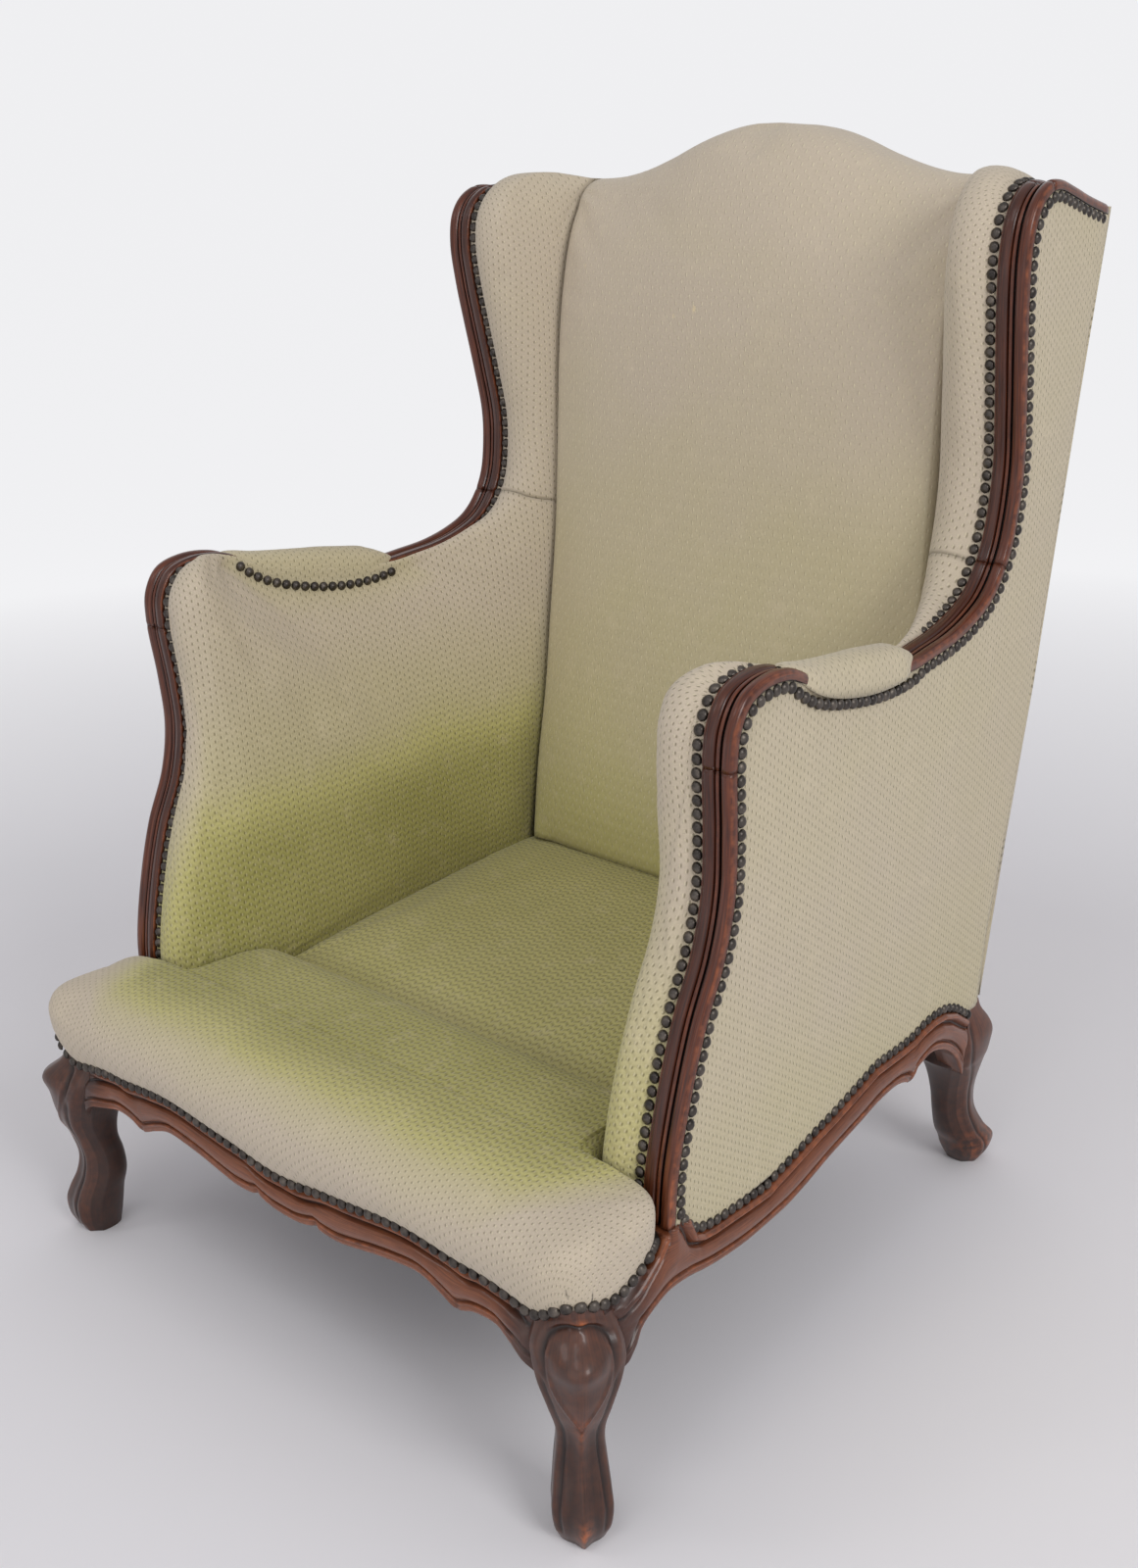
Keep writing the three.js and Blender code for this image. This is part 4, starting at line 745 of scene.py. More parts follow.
# %% Rear legs and the posts above them
# Heights of a rear leg: how far its corner stands out of the frame's corner along X and Y, and its side.
REAR_ROWS = np.array([
    [0, 0, 0, 26], [13, 7, 5, 37], [28, 10, 5, 43], [45, 5, -8, 40], [70, -1, -20, 35], [95, 0, -25, 35],
    [120, 7, -28, 41], [138, 13, -29, 50], [150, 17, -29, 60], [171, 19, -31, 60], [190, 16, -38, 60],
    [205, 13, -46, 60], [214, 12, -48, 60]])
REAR_CORNER, REAR_INNER = (298, 378), (266.3, 292.3)
# Heights and depths of the sloping rear edge.
RAKE = np.array([
    [225, 314], [298, 319], [390, 337], [550, 364], [720, 384], [878, 404], [997, 421], [1100, 421]])


def rear_edge(z):
    """Depth of the rear edge of the chair's sides at a height."""
    return np.interp(z, RAKE[:, 0], RAKE[:, 1])


for left, side in SIDES:
    z = np.linspace(0, 214, 150)[:, None]
    stand_x, stand_y, square = (smooth_knots(z, REAR_ROWS[:, [0, k]]) for k in (1, 2, 3))
    corner_x, corner_y = REAR_CORNER[0] + stand_x, REAR_CORNER[1] + stand_y
    side_x = np.minimum(square, corner_x - REAR_INNER[0])
    side_y = np.where(z > 146, corner_y - REAR_INNER[1], np.minimum(square, corner_y - 285))
    side_y = mix(square, side_y, ramp(z, 128, 150))
    power = smooth_knots(z, [[0, 1.5], [30, 1.6], [80, 1.75], [120, 1.5], [160, 1.2], [214, 1.1]])
    d, w, reach, near_edge, outward = leg_section(side_x, side_y, power)
    carve = bump(near_edge, 5.0, 1.4) * outward * ramp(z, 6, 16) * (1 - ramp(z, 186, 200))
    dome = 4.0 * bump(z, 182, 18) * np.clip(1 - (w / 22) ** 2, 0, 1) * outward
    bead, keel = bump(near_edge, 1.6, 1.4) * outward, bump(w, 0, 3.2) * outward * (1 - ramp(z, 98, 124))
    lift = dome - 1.8 * carve + 0.9 * bead + 1.2 * keel
    foot, _ = leg_rings(corner_x, corner_y, side_x, side_y, z, d, w, lift, 1)
    # The post above the leg is square, and slopes back with the chair's rear edge.
    high = np.concatenate([[222, 242, 242.4], RAKE[1:-2, 0], [975]])[:, None]
    yo = rear_edge(high) - GAP
    yi = np.where(high < POST_FOOT - 0.1, REAR_INNER[1], yo - RIBBON)
    c, s = diamond(1.02)
    upright = grid(outer_x(yo, high) - REBATE - 15 + 15 * (c + s), (yo + yi) / 2 + (yo - yi) / 2 * (c - s), high)
    rings = np.concatenate([foot, upright])
    tall = rings[:, :1, 2]
    # Painted shade: the faces turned in under the chair are darkened by half, through the groove value.
    groove = 0.85 * carve + 0.55 * (outward < 0.05)
    values = {
        "groove": np.pad(np.clip(groove, 0, 0.9), ((0, len(high)), (0, 0))), "wear": 0.15 + 0.6 * bump(tall, 25, 18),
        "haze": 0.75 - 0.45 * ramp(tall, 150, 215), "warm": 0.3}
    add_skin(f"rear_leg_{side}", rings, leg_map(tall), values, WOOD, f"rear_post_{side}", left=left)

# %% [markdown]
# ## How far the cloth has faded
# The loose seat cushion has kept the deck, the lower back and the lower arms olive. Above it the cloth has
# bleached to beige. The change is soft, over about 200 mm.


# %% Fade values
def side_fade(y, z):
    """0 where the cushion covered the arms' inner sides, 1 where the light fell. The edge climbs to the back."""
    line = 405 + 0.05 * (y + 200)
    return 0.04 + 0.52 * ramp(z - line, -40, 70) + 0.44 * ramp(z - line, 20, 200)


def back_fade(z):
    """The back goes from olive at the seat to beige at the shoulders, quickly at first and then slowly."""
    return 0.33 + 0.27 * ramp(z, 310, 460) + 0.4 * ramp(z, 450, 950)


# %% [markdown]
# ## Inner sides: arm and wing padding
# Along the wood runs a firm stuffed roll. Behind it the cover goes in a slanting plane down to the seat and
# back, and tucks into the creases there. The surface is measured by the share of the moulding line and by a
# second number that runs from the wood over the roll and on to the crease.

# %% The crease lines
# Heights and depths of the crease between the back and a side.
CREASE = np.array([
    [292, 239], [375, 249], [468, 266], [560, 278], [655, 290], [772, 298], [842, 302], [911, 310], [982, 329],
    [1030, 360]])
CORNER, SHOULDER_SHARE = 0.33, 0.93
PAD_INSET = RIBBON + GAP


def crease_at(share):
    """The end of the padding opposite a share of the line: x, y and z. It runs back along the seat's side,
    turns the corner, and climbs beside the back to the shoulder and over the top."""
    k = np.clip(share / CORNER, 0, 1)
    low_y = mix(-205, 239, k)
    low_z = mix(245, 268, k)
    up = np.clip((share - CORNER) / (ARM_END - CORNER), 0, 1)
    top = np.clip((share - ARM_END) / (SHOULDER_SHARE - ARM_END), 0, 1)
    z = mix(mix(268, ARM_HEIGHT, up), SHOULDER, top)
    end = np.clip((share - SHOULDER_SHARE) / (1 - SHOULDER_SHARE), 0, 1)
    # The cloth goes on 13 mm behind the back's edge, so that no gap shows between them.
    hidden = 13 * ramp(share, CORNER - 0.03, CORNER + 0.03)
    y = mix(smooth_knots(z, CREASE) + hidden, 416, end)
    low_y = low_y + hidden
    first = share < CORNER
    x = np.interp(share, [0.24, 0.33, 0.43], [260.6, 251, 246.6])
    return x, np.where(first, low_y, y), np.where(first, low_z, z)


# %% Arm and wing padding
# Sections of the roll beside the arm and the wing: shares of its width, and depths behind the line.
ROLL = smooth_line([
    [0, 5.2], [0.06, 4.8], [0.14, 4.4], [0.2, 2.4], [0.28, -1.2], [0.4, -4.6], [0.54, -6.0], [0.68, -5.4],
    [0.81, -2.6], [0.9, 1.6], [0.965, 7.0], [1, 14.0]], 44)
WING_ROLL = smooth_line([
    [0, 5.2], [0.06, 4.8], [0.14, 4.4], [0.2, 2.6], [0.3, -1.6], [0.45, -5.4], [0.62, -6.8], [0.8, -5.4],
    [0.92, -2.4], [1, 1.0]], 44)


def roll_size(share):
    """The roll is full along the post and the wing, and slim beside the arm top pad."""
    beside = ramp(share, PAD_FRONT - 0.06, PAD_FRONT) * (1 - ramp(share, PAD_REAR, PAD_REAR + 0.13))
    return mix(1, 0.14, beside)


def side_padding(share):
    """Rows of points from the wood over the roll to the crease, for each share of the line."""
    share = share[:, None]
    size, lift = roll_size(share), ramp(share, 0.87, 0.95)
    foot = ramp(share, 0, 0.035)
    on_wing = ramp(share, ARM_END - 0.07, ARM_END + 0.03)
    reach, stand = (mix(ROLL[None, :, k], WING_ROLL[None, :, k], on_wing) for k in (0, 1))
    stand = np.where(stand < 4, mix(4, stand, mix(0.35, 1, foot) * np.minimum(1, size * 1.6)), stand)
    front = mix(stand, stand * (1 - reach) - 18 * reach, lift)
    inset = PAD_INSET + reach * size * 50
    y, z = behind(share, front)
    roll = on_side(inset, y, z)
    k = np.linspace(0, 1, 45)[None, 1:]
    qx, qy, qz = crease_at(share)
    start = roll[:, -1:, :]
    flat = grid(mix(start[..., 0], qx, k), mix(start[..., 1], qy, k), mix(start[..., 2], qz, k))
    # The cover bows out a little in the middle of the panel.
    flat[..., 0] -= 5.0 * np.sin(np.pi * k) * (1 - lift) * ramp(share, 0.0, 0.1) * (1 - on_wing)
    flat[..., 1] -= 5.0 * np.sin(np.pi * k) * (1 - lift) * on_wing
    return np.concatenate([roll, flat], 1)


def side_backing(share):
    """The hidden back of the padding, on the inner plane of the side frame."""
    share = share[:, None]
    lift = ramp(share, 0.87, 0.95)
    k = np.linspace(1, 0, 9)[None, :]
    qx, qy, qz = crease_at(share)
    y, z = behind(share, 15.0 + 0 * k)
    py, pz = mix(y, qy, k), mix(z, qz - 57.7 * lift, k)
    flat = outer_x(py, pz) - PAD_INSET
    px = mix(flat, mix(flat, qx + 8, lift), k)
    return grid(px, py, pz)


def side_map(share, rings, count):
    """The weave's map: upright on the flat of the panel, and carried on over the roll by the length of cloth
    that wraps it, square to the moulding line."""
    flat = rings[..., 1:].copy()
    step = np.linalg.norm(np.diff(rings[:, :count], axis=1), axis=2)
    wrapped = np.concatenate([np.cumsum(step[:, ::-1], axis=1)[:, ::-1], np.zeros((len(rings), 1))], 1)
    ty, tz = (np.interp(share, LINE_SHARE, part)[:, None] for part in SLOPE.T)
    flat[:, :count, 0] = flat[:, count - 1:count, 0] - wrapped * tz
    flat[:, :count, 1] = flat[:, count - 1:count, 1] + wrapped * ty
    return flat / 1000


def pad_piece(name, start, end, node, left):
    """The padding from one share of the line to another, from the wood over the roll to the crease."""
    share = steps(start, end, 4.5)
    front = side_padding(share)
    rings = np.concatenate([front, side_backing(share)], 1)
    y, z = rings[..., 1], rings[..., 2]
    n, last = len(ROLL), front.shape[1]
    column, row = np.arange(rings.shape[1])[None, :], np.arange(len(share))[:, None]
    # The roll is bleached down to the seat, and worn beside the arm top pad.
    bleached = (0.4 + 0.6 * ramp(z, 330, 520)) * (1 - ramp(column, 0.45 * n, n + 14))
    beside = (ramp(share, PAD_FRONT - 0.02, PAD_FRONT) * (1 - ramp(share, PAD_REAR, PAD_REAR + 0.02)))[:, None]
    fade = mix(np.maximum(side_fade(y, z), bleached), 0.76, beside * (1 - ramp(column, n, n + 10)))
    # Dust along the nails, and the sewn seam where the arm's cloth meets the wing's.
    soil = 0.3 * bump(column / (n - 1), 0.0, 0.09) * (column < n)
    seam = np.abs(share - ARM_END)[:, None] * LENGTH
    soil = np.maximum(soil, 0.28 * bump(seam, 0, 1.2) + 0.14 * bump(seam, 7.0, 1.6))
    # Painted shade: the cloth is darkened for the last centimetre or two before it goes into a crease, most where it
    # meets the back.
    at_back = ramp(share, CORNER - 0.02, CORNER + 0.05)[:, None]
    soil = np.maximum(soil, mix(0.2, 0.5, at_back) * ramp(column, last - 7, last - 1))
    values = {"fade": fade, "soil": soil, "plain": 0.62 - 0.3 * ramp(share, 0.6, 0.7)[:, None]}
    uv = side_map(share, rings, n)
    piece = add_skin(name, rings, uv, values, CLOTH, node, left=left)
    nailed = (beside > 0) & (column < n + 6)
    plump(piece, (column > 12) & (column < last - 5) & (row > 3) & (row < len(share) - 4) & ~nailed, 4.0)


for left, side in SIDES:
    pad_piece(f"arm_padding_{side}", 2.3 / LENGTH, ARM_END - 0.0001, f"inner_arm_pad_{side}", left)
    pad_piece(f"wing_padding_{side}", ARM_END + 0.0001, 1.0, f"inner_wing_pad_{side}", left)

# %% [markdown]
# ## Back
# The back is one stuffed panel under a smooth cover. It bows forward a little, rolls over the crest rail in
# the camel curve and tucks in at both sides.

# %% Back padding
CAMEL_KNOTS = np.array([
    [0, 1080], [34, 1079], [61, 1074], [86, 1066], [123, 1051], [167, 1037], [202, 1031], [BACK_HALF, 1030]])
BACK_FOOT = 289.6


def camel_top(x):
    """Height of the back's top edge across the chair."""
    return smooth_knots(np.abs(x), np.vstack([CAMEL_KNOTS[1:2] * (-1, 1), CAMEL_KNOTS]))


x = BACK_HALF * np.sin(np.linspace(-np.pi / 2, np.pi / 2, 181) * 0.999) / np.sin(np.pi / 2 * 0.999)
x = x[:, None]
top = camel_top(x)
s = np.linspace(0, 1, 90)[None, :]
z = mix(BACK_FOOT, top - 30, s)
bow = 12.5 * (1 - (x / BACK_HALF) ** 2) ** 0.75
# The panel's sides turn in over their last 14 mm, round a quarter ellipse.
turn_in = 11.0 * (1 - np.sqrt(np.clip(1 - (np.clip(np.abs(x) - 232, 0, 14) / 14) ** 2, 0, 1)))
foot = 5.0 * (1 - ramp(z, 289, 316)) ** 2 * (1 - ramp(np.abs(x), 205, 236))
front_y = smooth_knots(z - s * (top - SHOULDER), CREASE) - bow + turn_in + foot
# The cover rolls over the crest, comes down 21.7 mm behind it, and lies hidden on the frame from there.
over = smooth_line([[0, 0], [5, 11], [14, 21], [27, 27.5], [40, 30]], 22)[1:]
crest = np.array([[400.0, -0.2], [411, -1.2], [415, -3], [417, -6], [418, -12], [418, -21.7]])
inner_z = np.linspace(930, BACK_FOOT, 12)[None, :]
inner_y = rear_edge(inner_z) - RIBBON - 2 * GAP
none = 0 * top
rings_y = np.concatenate([
    front_y, front_y[:, -1:] + over[:, 0], none + crest[:, 0], none + inner_y[:, :1], none + inner_y], 1)
rings_z = np.concatenate([z, top - 30 + over[:, 1], top + crest[:, 1], top + crest[-1:, 1], none + inner_z], 1)
rings = grid(x, rings_y, rings_z)
run = np.hypot(*(np.diff(part, axis=1, prepend=part[:, :1]) for part in (rings_y, rings_z)))
wrap = run_length(np.concatenate([x, front_y[:, 45:46]], 1))[:, None]
# The weave stands longer here: a row of dashes every 14 mm instead of 8.
uv = grid(wrap / 1000, np.cumsum(run, axis=1) / 1000 * 8 / 14)
# Painted shade in the crease along the back's foot, and in the creases at its sides beside the arms and wings.
soil = 0.15 * bump(rings_z, 290, 7) + 0.4 * bump(np.abs(x), BACK_HALF, 6)
values = {"fade": back_fade(rings_z), "soil": soil, "plain": 0}
piece = add_skin("back_padding", rings, uv, values, CLOTH, "inner_back_pad")
column = np.arange(rings.shape[1])[None, :]
plump(piece, (column > 3) & (column < 111) & (np.abs(x) < 240), 5.0)

# %% [markdown]
# ## Seat
# The deck is flat and springy, in unfaded olive cloth. In front of it a stuffed roll, the lip, lies across
# the whole chair, also before the arm posts. Its cover is pulled down over the rail and nailed.

# %% Seat deck
y = np.linspace(-134.7, 280, 140)[:, None]
u = np.sin(np.linspace(-np.pi / 2, np.pi / 2, 151))[None, :]
half = np.interp(y, [150, 239, 280], [260.2, 260, 256])
top = np.interp(y, [-134.7, -80, 10, 176], [263, 270, 278, 289]) - 6 * u**4
near_side = (1 - np.abs(u)) * half
top = top - 7 * (1 - ramp(near_side, 0, 14)) ** 2 - 5 * (1 - ramp(y + 134.7, 0, 14)) ** 2
upper = grid(u * half, y, top)
lower = grid(u[:, ::-10] * half, y, 259.8)
rings = np.concatenate([upper, np.minimum(lower, upper[:, ::-10] - (0, 0, 1))], 1)
# The deck's front strip, just behind the lip, is darkened as the lip's painted shadow.
values = {"fade": 0.26 + 0.04 * ramp(-y, 60, 134), "soil": 0.22 * (1 - ramp(y, -132, -85)), "plain": 1}
uv = rings[..., :2] / 1000
piece = add_skin("seat_deck_cover", rings, uv, values, CLOTH, "seat_deck")
column = np.arange(rings.shape[1])[None, :]
plump(piece, (column > 5) & (column < 145) & (y > -126) & (y < 232), 4.0)

# %% Seat lip
# Insets from the outline and heights, from the hem up to the top. Heights are shares of the way from the nailed
# hem to the top.
FRONT_PROFILE = [
    [17.5, 0], [12, 0.09], [5.5, 0.25], [1, 0.45], [0, 0.59], [3.5, 0.74], [12, 0.86], [27, 0.94], [50, 0.985]]
END_PROFILE = [
    [3, 0], [2, 0.09], [0.8, 0.25], [0, 0.45], [0, 0.6], [2, 0.74], [7, 0.85], [18, 0.92], [38, 0.965]]
SEAM_PROFILE = [
    [0.4, 0.25], [0.3, 0.32], [0.2, 0.4], [0, 0.48], [0.5, 0.58], [3.5, 0.72], [10, 0.84], [20, 0.93], [36, 0.98]]
POST_PROFILE = [
    [0.6, 0.2], [0.5, 0.3], [0.3, 0.42], [0.1, 0.54], [0, 0.66], [1.5, 0.78], [5, 0.85], [12, 0.91], [30, 0.96]]
LIP_FRONT, LIP_REAR, LIP_TOP, LIP_END = -370, -135.4, 287.0, 361
# The outline in plan from the middle of the seam, along the right post and side, to the middle of the front:
# x, y, height of the hem, and shares of the end, seam and post profiles. The rest is the front profile's.
OUTLINE = np.array([
    [0, LIP_REAR, 200, 0, 1, 0], [120, LIP_REAR, 205, 0, 1, 0], [246, LIP_REAR, 210, 0, 1, 0],
    [255, -137, 212, 0, 1, 0], [258.5, -150, 214, 0, 0.7, 0.3], [259.3, -185, 214, 0, 0.2, 0.8],
    [262, -212, 214, 0, 0, 1], [276, -234, 214, 0, 0, 1], [284, -250.8, 214, 0, 0, 1], [300, -250.8, 216, 0, 0, 1],
    [346, -250.8, 234, 0, 0, 1], [357, -253, 238, 0.5, 0, 0.5], [LIP_END, -262, 234, 1, 0, 0],
    [LIP_END, -290, 219, 1, 0, 0], [LIP_END, -314, 210, 1, 0, 0], [LIP_END, -338, 218, 0.9, 0, 0],
    [357, -356, 224, 0.7, 0, 0], [345, -366, 222, 0.45, 0, 0], [333, -369, 209, 0.2, 0, 0]]
    + [[x, LIP_FRONT, hem, 0, 0, 0] for x, hem in (
        (320, 199), (309, 201), (291, 206), (270, 209), (249, 211), (233, 209), (215, 212), (194, 214), (170, 216),
        (146, 215), (121, 212), (89, 208), (55, 205), (23, 199), (0, 198))])
run = run_length(OUTLINE[:, :2])
at = np.linspace(0, run[-1], 290)
half = grid(*(np.interp(at, run, part) for part in OUTLINE.T))
# Corners are rounded by averaging along the outline, twice over nine places or about 30 mm.
for _ in range(2):
    wide = np.pad(half, ((4, 4), (0, 0)), mode="edge")
    wide[:4, 0], wide[-4:, 0] = -half[4:0:-1, 0], -half[-2:-6:-1, 0]
    half = grid(*(np.convolve(part, np.ones(9) / 9, mode="valid") for part in wide.T))
half[:, 1] = np.clip(half[:, 1], LIP_FRONT, LIP_REAR)
px, py, hem, end, seam, post = np.concatenate([half, half[-2:0:-1] * (-1, 1, 1, 1, 1, 1)]).T
weights = np.stack([1 - end - seam - post, end, seam, post])
insets, levels = np.einsum("wp,wkc->ckp", weights, [FRONT_PROFILE, END_PROFILE, SEAM_PROFILE, POST_PROFILE])
# The cover is carried from the outline toward a spine across the seat.
aim = grid(np.clip(px, -296, 296) - px, -252 - py)
far = np.linalg.norm(aim, axis=1)
aim = aim / far[:, None]
insets, levels = np.split(smooth_line(np.concatenate([insets, levels], 1), 64), 2, axis=1)
k = np.linspace(0, 0.97, 26)[1:, None]
insets = np.concatenate([insets, mix(insets[-1:], far[None, :], k)])
levels = np.concatenate([levels, mix(levels[-1:], 1.0, 1 - (1 - k) ** 2)])
xs, ys = px + aim[:, 0] * insets, py + aim[:, 1] * insets
zs = mix(hem, LIP_TOP - 2.5 * (xs / LIP_END) ** 2, levels)
# The weave runs from front to back over the top, and down over the front and the ends.
drop = np.abs(zs - LIP_TOP)
outward = grid(np.roll(py, -3) - np.roll(py, 3), np.roll(px, 3) - np.roll(px, -3))
outward /= np.linalg.norm(outward, axis=1)[:, None]
outward *= np.sign((outward * -aim).sum(axis=1))[:, None]
uv = grid(xs + outward[:, 0] * drop, ys + outward[:, 1] * drop) / 1000
uv = np.concatenate([uv, uv[:, :1]], 1)
# Bleached along the front, down the front and toward the front corners.
bleached = (0.25 * ramp(-ys, 265, 325) + 0.6 * ramp(-ys, 312, 374) + 0.25 * ramp(drop, 6, 50)
            + ramp(np.abs(xs) + 0.25 * (-ys - 250), 283, 368))
fade = 0.06 + 0.94 * np.clip(bleached, 0, 1)
front = (py < -255)[None, :]
# Darker close along the nailed hem at the front, and painted shade on the rear slope where the lip goes down to the
# deck.
soil = 0.35 * bump(zs - hem, 0, 5.0) * front + 0.15 * ramp(ys, -165, -138) * ~front
values = {"fade": fade, "soil": soil, "plain": 0.34 + 0.6 * (1 - ramp(fade, 0.1, 0.6))}
piece = add_skin("seat_lip_cover", grid(xs, ys, zs), uv, values, CLOTH, "seat_lip")
level = np.arange(len(xs))[:, None]
plump(piece, (level > 10) & (ys < -142) & ((post + seam) < 0.3)[None, :], 4.0)
LIP_EDGE = px, py, hem, end, aim, insets[6]

# %% [markdown]
# ## Arm top pads
# A small almond-shaped pad sits on each arm. Its cover comes down both sides of the rail and is nailed
# along its lower edge.

# %% Arm top pads
PAD_RISE = np.array([
    [0, -0.8], [0.05, 3.4], [0.12, 7.2], [0.25, 11.5], [0.45, 15.2], [0.62, 17.4], [0.75, 17], [0.85, 14],
    [0.93, 8.5], [0.98, 3], [1, -0.5]])
PAD_BROAD, PAD_MIDDLE = 20.3, 16.9
k = np.linspace(0.004, 0.996, 110)[:, None]
# The pad rises slowly from its front end and drops quickly at its rear.
high = smooth_knots(k, PAD_RISE)
drop = 18 * np.sin(np.pi * k) ** 0.55 + 1
broad = PAD_BROAD * np.minimum(1, np.minimum(k / 0.16, (1 - k) / 0.16)) ** 0.4
share = mix(PAD_FRONT, PAD_REAR, k)
turn = np.linspace(0, np.pi, 56)[None, :]
c, s = np.cos(turn), np.sin(turn)
# A half superellipse stands over the hem, as high as the drop and the rise. Below, the pad is hollow.
inset = PAD_MIDDLE + np.concatenate([
    -broad * np.sign(c) * np.abs(c) ** 0.78, (broad - 6.6).clip(1) * np.array([[1, 1, -1, -1]])], 1)
depth = np.concatenate([drop - (high + drop) * s**0.66, drop, -0.4 + 0 * k, -0.4 + 0 * k, drop], 1)
rings = on_side(inset, *behind(share, depth))
run = np.cumsum(np.pad(np.linalg.norm(np.diff(rings, axis=1), axis=2), ((0, 0), (1, 0))), axis=1)
run = np.concatenate([run, run[:, -1:] + 4], 1) - run[:, 28:29]
uv = grid(share * LENGTH / 1000, run / 1000)
values = {
    "fade": 0.82 - 0.08 * ramp(inset, 12, 34), "soil": 0.3 * ramp(depth, 8, 18) + 0.1 * ramp(-depth, 8, 18),
    "plain": 0.45}
column = np.arange(rings.shape[1])[None, :]
for left, side in SIDES:
    name, node = f"arm_top_padding_{side}", f"arm_top_pad_{side}"
    piece = add_skin(name, rings, uv, values, CLOTH, node, left=left)
    plump(piece, (column > 9) & (column < 46) & (k > 0.04) & (k < 0.96), 2.5)

# %% [markdown]
# ## Outside covers
# Outside, cloth over thin wadding is stretched on each side and across the back. The side covers are
# let in behind the moulding, and swell a millimetre or two between their edges.

# %% Outside of the sides
# The lower edge meets the side rail up to this share of the line, and then climbs the rear edge.
RAIL_SHARE = 0.34
share = steps(0, 1, 6.0)[:, None]
k = np.linspace(0, 1, 60)[None, :]
y, z = behind(share, 9.3)
by = mix(-217, 313, np.clip(share / RAIL_SHARE, 0, 1))
bz = np.maximum(np.interp(by, *SIDE_TOP.T) + 0.6, 214.3)
up = np.clip((share - RAIL_SHARE) / (1 - RAIL_SHARE), 0, 1)
bz = np.where(share < RAIL_SHARE, bz, mix(214.3, 992.5, up))
by = np.where(share < RAIL_SHARE, by, rear_edge(bz) + 0.2)
py, pz = mix(y, by, k), mix(z, bz, k)
bow = 2.2 * np.sin(np.pi * k).clip(0) ** 0.7 * ramp(share, 0, 0.12)
inner = on_side(6.4, py[:, ::-8], pz[:, ::-8])
rings = np.concatenate([on_side(1.5 - bow, py, pz), inner], 1)
soil = np.pad(0.25 * bump(k, 0, 0.03) * (k < 0.5), ((0, 0), (0, inner.shape[1])))
values = {"fade": 0.86 - 0.14 * ramp(-rings[..., 2], -400, -230), "soil": soil, "plain": 0.6}
for left, side in SIDES:
    name, node = f"outside_cover_{side}", f"outer_side_cover_{side}"
    add_skin(name, rings, rings[..., 1:] / 1000, values, CLOTH, node, left=left)

# %% Outside of the back
u = np.linspace(-1, 1, 121)[:, None]
v = np.linspace(0, 1, 120)[None, :]
edge_x = outer_x(421, 1000) - 1.5
off = np.abs(u) * edge_x
top = np.where(off <= BACK_HALF, camel_top(off) - 8, mix(1022, 1000, ramp(off, BACK_HALF, edge_x)))
z = mix(224.0, top, v)
half = outer_x(rear_edge(z), z) - 1.5
bow = 2.0 * np.sin(np.pi * v).clip(0) ** 0.6 * np.sin(np.pi * (u + 1) / 2).clip(0) ** 0.6
inner = grid(u * half, rear_edge(z) + 0.4, z)[:, ::-8]
rings = np.concatenate([grid(u * half, rear_edge(z) + 3.6 + bow, z), inner], 1)
values = {"fade": 0.85, "soil": 0, "plain": 0.6}
uv = rings[..., ::2] / 1000
add_skin("outside_back_cover", rings, uv, values, CLOTH, "outer_back_cover")

# %% [markdown]
# ## Dome nails
# Upholstery nails are pressed steel domes with a dark bronze finish, 10.4 mm across and 11.4 mm apart. They
# are repeated hundreds of times, so one dome has few faces. Each is turned square to the cloth and tilted
# by a degree or two, as hand-set nails are.


# %% Material: aged bronze
def aged_bronze():
    material, node, feed = new_material("oxidised_bronze_finish", Metallic=0.85)
    place = node("TexCoord", out="Object")
    blotch = node("TexNoise", place, Scale=90.0, Detail=3.0)
    body = node("ValToRGB", blotch, stops=((0.3, "#3a3634"), (0.55, "#57514c"), (0.8, "#7a7168")))
    feed(Base_Color=body, Roughness=node("MULTIPLY_ADD", blotch, 0.3, 0.24))
    return material


BRONZE = aged_bronze()
print("material:", BRONZE.name)

# %% Nail rows
NAIL_PITCH, NAIL_RADIUS, NAIL_HIGH = 11.4, 5.2, 3.9
rng = np.random.default_rng(7)


def dome():
    """A dome: rings whose radius shrinks with the cosine of the angle and whose height grows with its sine."""
    turn = np.linspace(0, 2 * np.pi, 12, endpoint=False)
    rise = np.radians([-14, 8, 32, 58, 78])[:, None]
    broad = NAIL_RADIUS * np.cos(rise)
    ring = grid(broad * np.cos(turn), broad * np.sin(turn), NAIL_HIGH * np.sin(rise))
    points = np.concatenate([ring.reshape(-1, 3), [[0, 0, NAIL_HIGH], [0, 0, -1.0]]])
    i, j = np.meshgrid(np.arange(4), np.arange(12), indexing="ij")
    a, b = i * 12 + j, i * 12 + (j + 1) % 12
    k = np.arange(12)
    after = (k + 1) % 12
    return points, np.concatenate([grid(48 + k, 48 + after, 60), grid(after, k, 61)]), grid(
        a, b, b + 12, a + 12).reshape(-1, 4)


